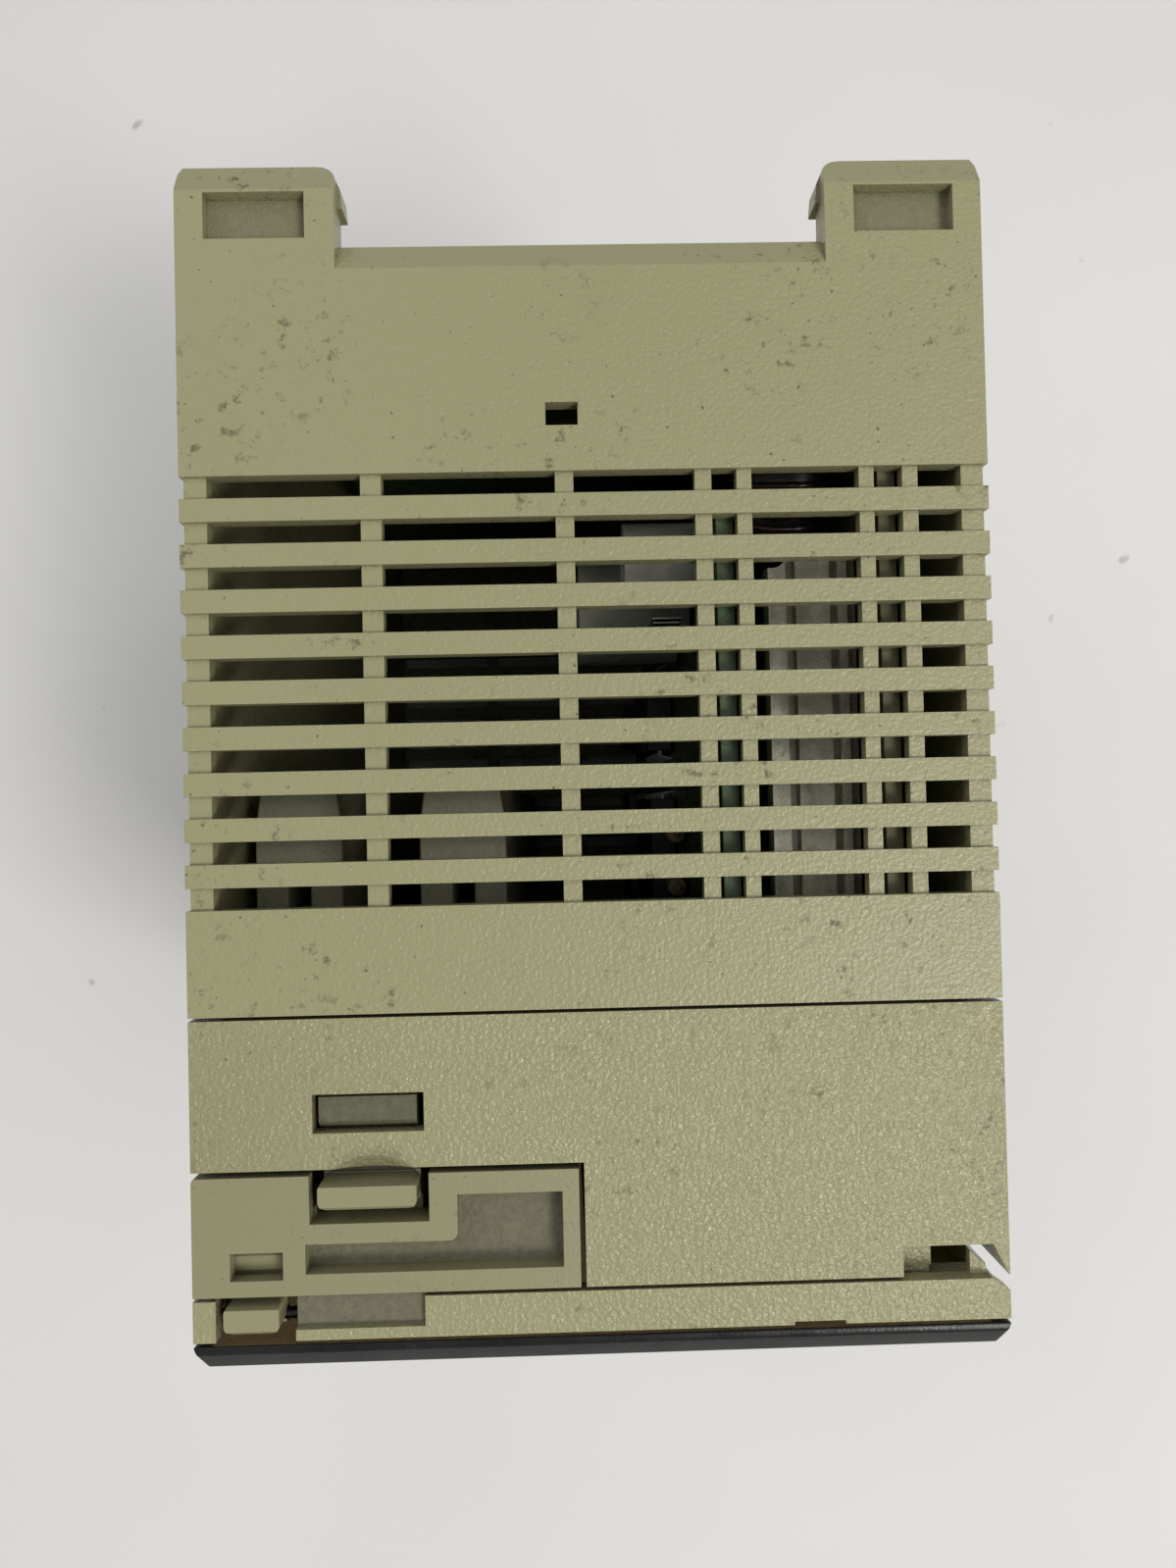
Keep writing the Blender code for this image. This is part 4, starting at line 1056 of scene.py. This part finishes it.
def chipLegs(node, count):
    low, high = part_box(node)
    out, half = legSpec["out"], legSpec["half"]
    pitch = (high.z - low.z - 2 * legSpec["endGap"]) / (count - 1)
    legs = []
    for side, y in ((-1, low.y), (1, high.y)):
        for i in range(count):
            z = low.z + legSpec["endGap"] + i * pitch
            leg = block((high.x - legSpec["high"], min(y, y + side * out), z - half),
                        (high.x - legSpec["under"], max(y, y + side * out), z + half))
            pickFaces(leg, lambda c, n, side=side: n.y * side > 0.9)
            # the foot bends down to the board
            bpy.ops.mesh.extrude_region_move(TRANSFORM_OT_translate={"value": (1.5 * mm, side * 0.4 * mm, 0)})
            leaveEdit()
            legs.append(leg)
    place(joinAll(legs, node + "_legs"), "root", finish["steel"])


chipLegs("processor_chip", 20)
chipLegs("memory_chip", 14)


# Small parts on the left face of the main board

# rows and places are y and z on the board in mm, the rest measures out from its left face
boardSpec = {
    "resistorRows": ((96, range(-26, -2, 6)), (44, range(-24, 20, 5))),
    "resistorOut": 1.4 * mm,
    "discs": ((-28, 84), (-21, 70), (5, 66), (7, 52), (-8, 48)),
    "discRadius": 2.3 * mm,
    "discThick": 1.5 * mm,
    "discOut": 3.2 * mm,
    "combOut": (5.1 * mm, 2.3 * mm),
    "combHeights": (112 * mm, 119.6 * mm),
    "chips": ((-20, 30, 20), (-6, 30, 20), (8, 30, 20), (-20, 100, 8)),
    "chipHalf": 3.2,
    "chipOut": (3.4 * mm, 0.4 * mm),
}


def resistor(centre):
    body = drum(1.05 * mm, 6.0 * mm, centre, "Z", 20)
    for side in (1, -1):
        pickFaces(body, lambda c, n, side=side: n.z * side > 0.9)
        bpy.ops.mesh.inset(thickness=0.72 * mm, depth=0)
        bpy.ops.mesh.extrude_region_move(TRANSFORM_OT_translate={"value": (0, 0, side * 1.8 * mm)})
        leaveEdit()
    softEdges(body, 0.25 * mm, 2)
    return body


def boardPopulation():
    spec = boardSpec
    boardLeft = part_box("main_board")[0].x
    resistors = [resistor(Vector((boardLeft - spec["resistorOut"], y * mm, z * mm)))
                 for z, row in spec["resistorRows"] for y in row]
    place(joinAll(resistors, "resistors"), "root", finish["resistor"])
    discs = []
    for y, z in spec["discs"]:
        middle = (boardLeft - spec["discOut"], y * mm, z * mm)
        disc = drum(spec["discRadius"], spec["discThick"], middle, "Y", 28)
        softEdges(disc, 0.6 * mm, 4)
        discs.append(disc)
    place(joinAll(discs, "disc_capacitors"), "root", finish["ceramic"])
    left, right = (boardLeft - out for out in spec["combOut"])
    bottom, over = spec["combHeights"]
    fins = [block((left, (10.9 + 0.42 * i) * mm, bottom), (right, (11.1 + 0.42 * i) * mm, over))
            for i in range(6)]
    comb = joinAll(fins, "network_comb")
    softEdges(comb, 0.05 * mm, 1)
    place(comb, "root", finish["steel"])
    left, right = (boardLeft - out for out in spec["chipOut"])
    half = spec["chipHalf"]
    bodies = []
    for y, z, tall in spec["chips"]:
        body = block((left, (y - half) * mm, (z - tall / 2) * mm),
                     (right, (y + half) * mm, (z + tall / 2) * mm))
        softEdges(body, 0.25 * mm, 2)
        bodies.append(body)
    place(joinAll(bodies, "logic_chips"), "root", finish["black"])


boardPopulation()
print("boards populated")


# Leads of the choke, curving over to the power board

def chokeLeads():
    low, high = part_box("filter_choke")
    for side in (0, 1):
        curve = bpy.data.curves.new("lead", "CURVE")
        curve.dimensions = "3D"
        curve.bevel_depth = 0.5 * mm
        curve.bevel_resolution = 3
        curve.use_fill_caps = True
        spline = curve.splines.new("NURBS")
        x = low.x + (2.4 + 4.2 * side) * mm
        route = [(x, high.y - 4 * mm, high.z - 3.5 * mm),
                 (x, high.y - 3 * mm, high.z - 0.2 * mm),
                 (x + 1.5 * mm, high.y - 1 * mm, high.z + 0.6 * mm),
                 (x + 3.5 * mm, high.y - 2.2 * mm, high.z - 0.5 * mm),
                 (high.x + 0.4 * mm, high.y - (3 + 2 * side) * mm, high.z - 4 * mm),
                 (high.x + 0.5 * mm, high.y - (3 + 2 * side) * mm, high.z - 9 * mm)]
        spline.points.add(len(route) - 1)
        for point, spot in zip(spline.points, route):
            point.co = (*spot, 1)
        spline.use_endpoint_u = True
        spline.order_u = 4
        lead = bpy.data.objects.new("choke_lead_%d" % (side + 1), curve)
        scene.collection.objects.link(lead)
        activate(lead)
        bpy.ops.object.convert(target="MESH")
        lead = bpy.context.object
        shadeByAngle(lead, 60)
        place(lead, "root", finish["enamel"])


chokeLeads()
print("leads run")


# Floor, light and camera

stageSpec = {
    "floorSize": 4.0,
    "tableDark": (0.675, 0.660, 0.640),
    "tableLight": (0.705, 0.692, 0.675),
    "roomTone": (0.95, 0.97, 1.0, 1.0),
    "roomPower": 0.485,
    "cameraPlace": (-0.002525, -0.004291, 0.231258),
    "cameraTurn": (0.93, -1.168, -1.292),
    "lens": 27.02,
}


def tableTop():
    material, tree, shader = newMaterial("pale_table", 0.6, Specular_IOR_Level=0.3)
    vector = place3d(tree)
    drift = ramp(tree, noise(tree, vector, 9, 3), 0.35, 0.65)
    colour = tint(tree, drift, stageSpec["tableDark"], stageSpec["tableLight"])
    motes = ramp(tree, noise(tree, vector, 150, 2, 0.4), 0.755, 0.80)
    colour = tint(tree, maths(tree, "MULTIPLY", motes, 0.5), colour, (0.25, 0.22, 0.18))
    tree.links.new(colour, shader.inputs["Base Color"])
    bump(tree, shader, noise(tree, vector, 700, 3), 0.03 * mm)
    return material


deselectAll()
bpy.ops.mesh.primitive_plane_add(size=stageSpec["floorSize"], location=(0, 0, -0.02 * mm))
floor = settle(bpy.context.object, "table")
paint(floor, tableTop())


def softLight(name, location, size, power, tone, target=(0, 0, 0.10)):
    data = bpy.data.lights.new(name, "AREA")
    data.shape = "RECTANGLE"
    data.size, data.size_y = size
    data.energy = power
    data.color = tone
    light = bpy.data.objects.new(name, data)
    light.location = location
    light.rotation_euler = (Vector(target) - Vector(location)).to_track_quat("-Z", "Y").to_euler()
    scene.collection.objects.link(light)


softLight("key", (0.42, -0.36, 0.95), (0.26, 0.26), 5.1, (1.0, 0.99, 0.965))
softLight("sheen", (0.52, 0.02, 1.15), (0.60, 0.60), 2.5, (1.0, 0.99, 0.965))
softLight("fill", (-1.3, 0.9, 1.5), (1.6, 1.6), 9.0, (0.99, 0.98, 0.97))
world = bpy.data.worlds.new("room")
scene.world = world
world.use_nodes = True
room = world.node_tree.nodes["Background"]
room.inputs["Color"].default_value = stageSpec["roomTone"]
room.inputs["Strength"].default_value = stageSpec["roomPower"]

cameraData = bpy.data.cameras.new("camera")
cameraData.lens = stageSpec["lens"]
cameraData.sensor_width = 36.0
cameraData.clip_start = 0.01
camera = bpy.data.objects.new("camera", cameraData)
camera.location = stageSpec["cameraPlace"]
camera.rotation_euler = [math.radians(turn) for turn in stageSpec["cameraTurn"]]
scene.collection.objects.link(camera)
scene.camera = camera
print("stage set")
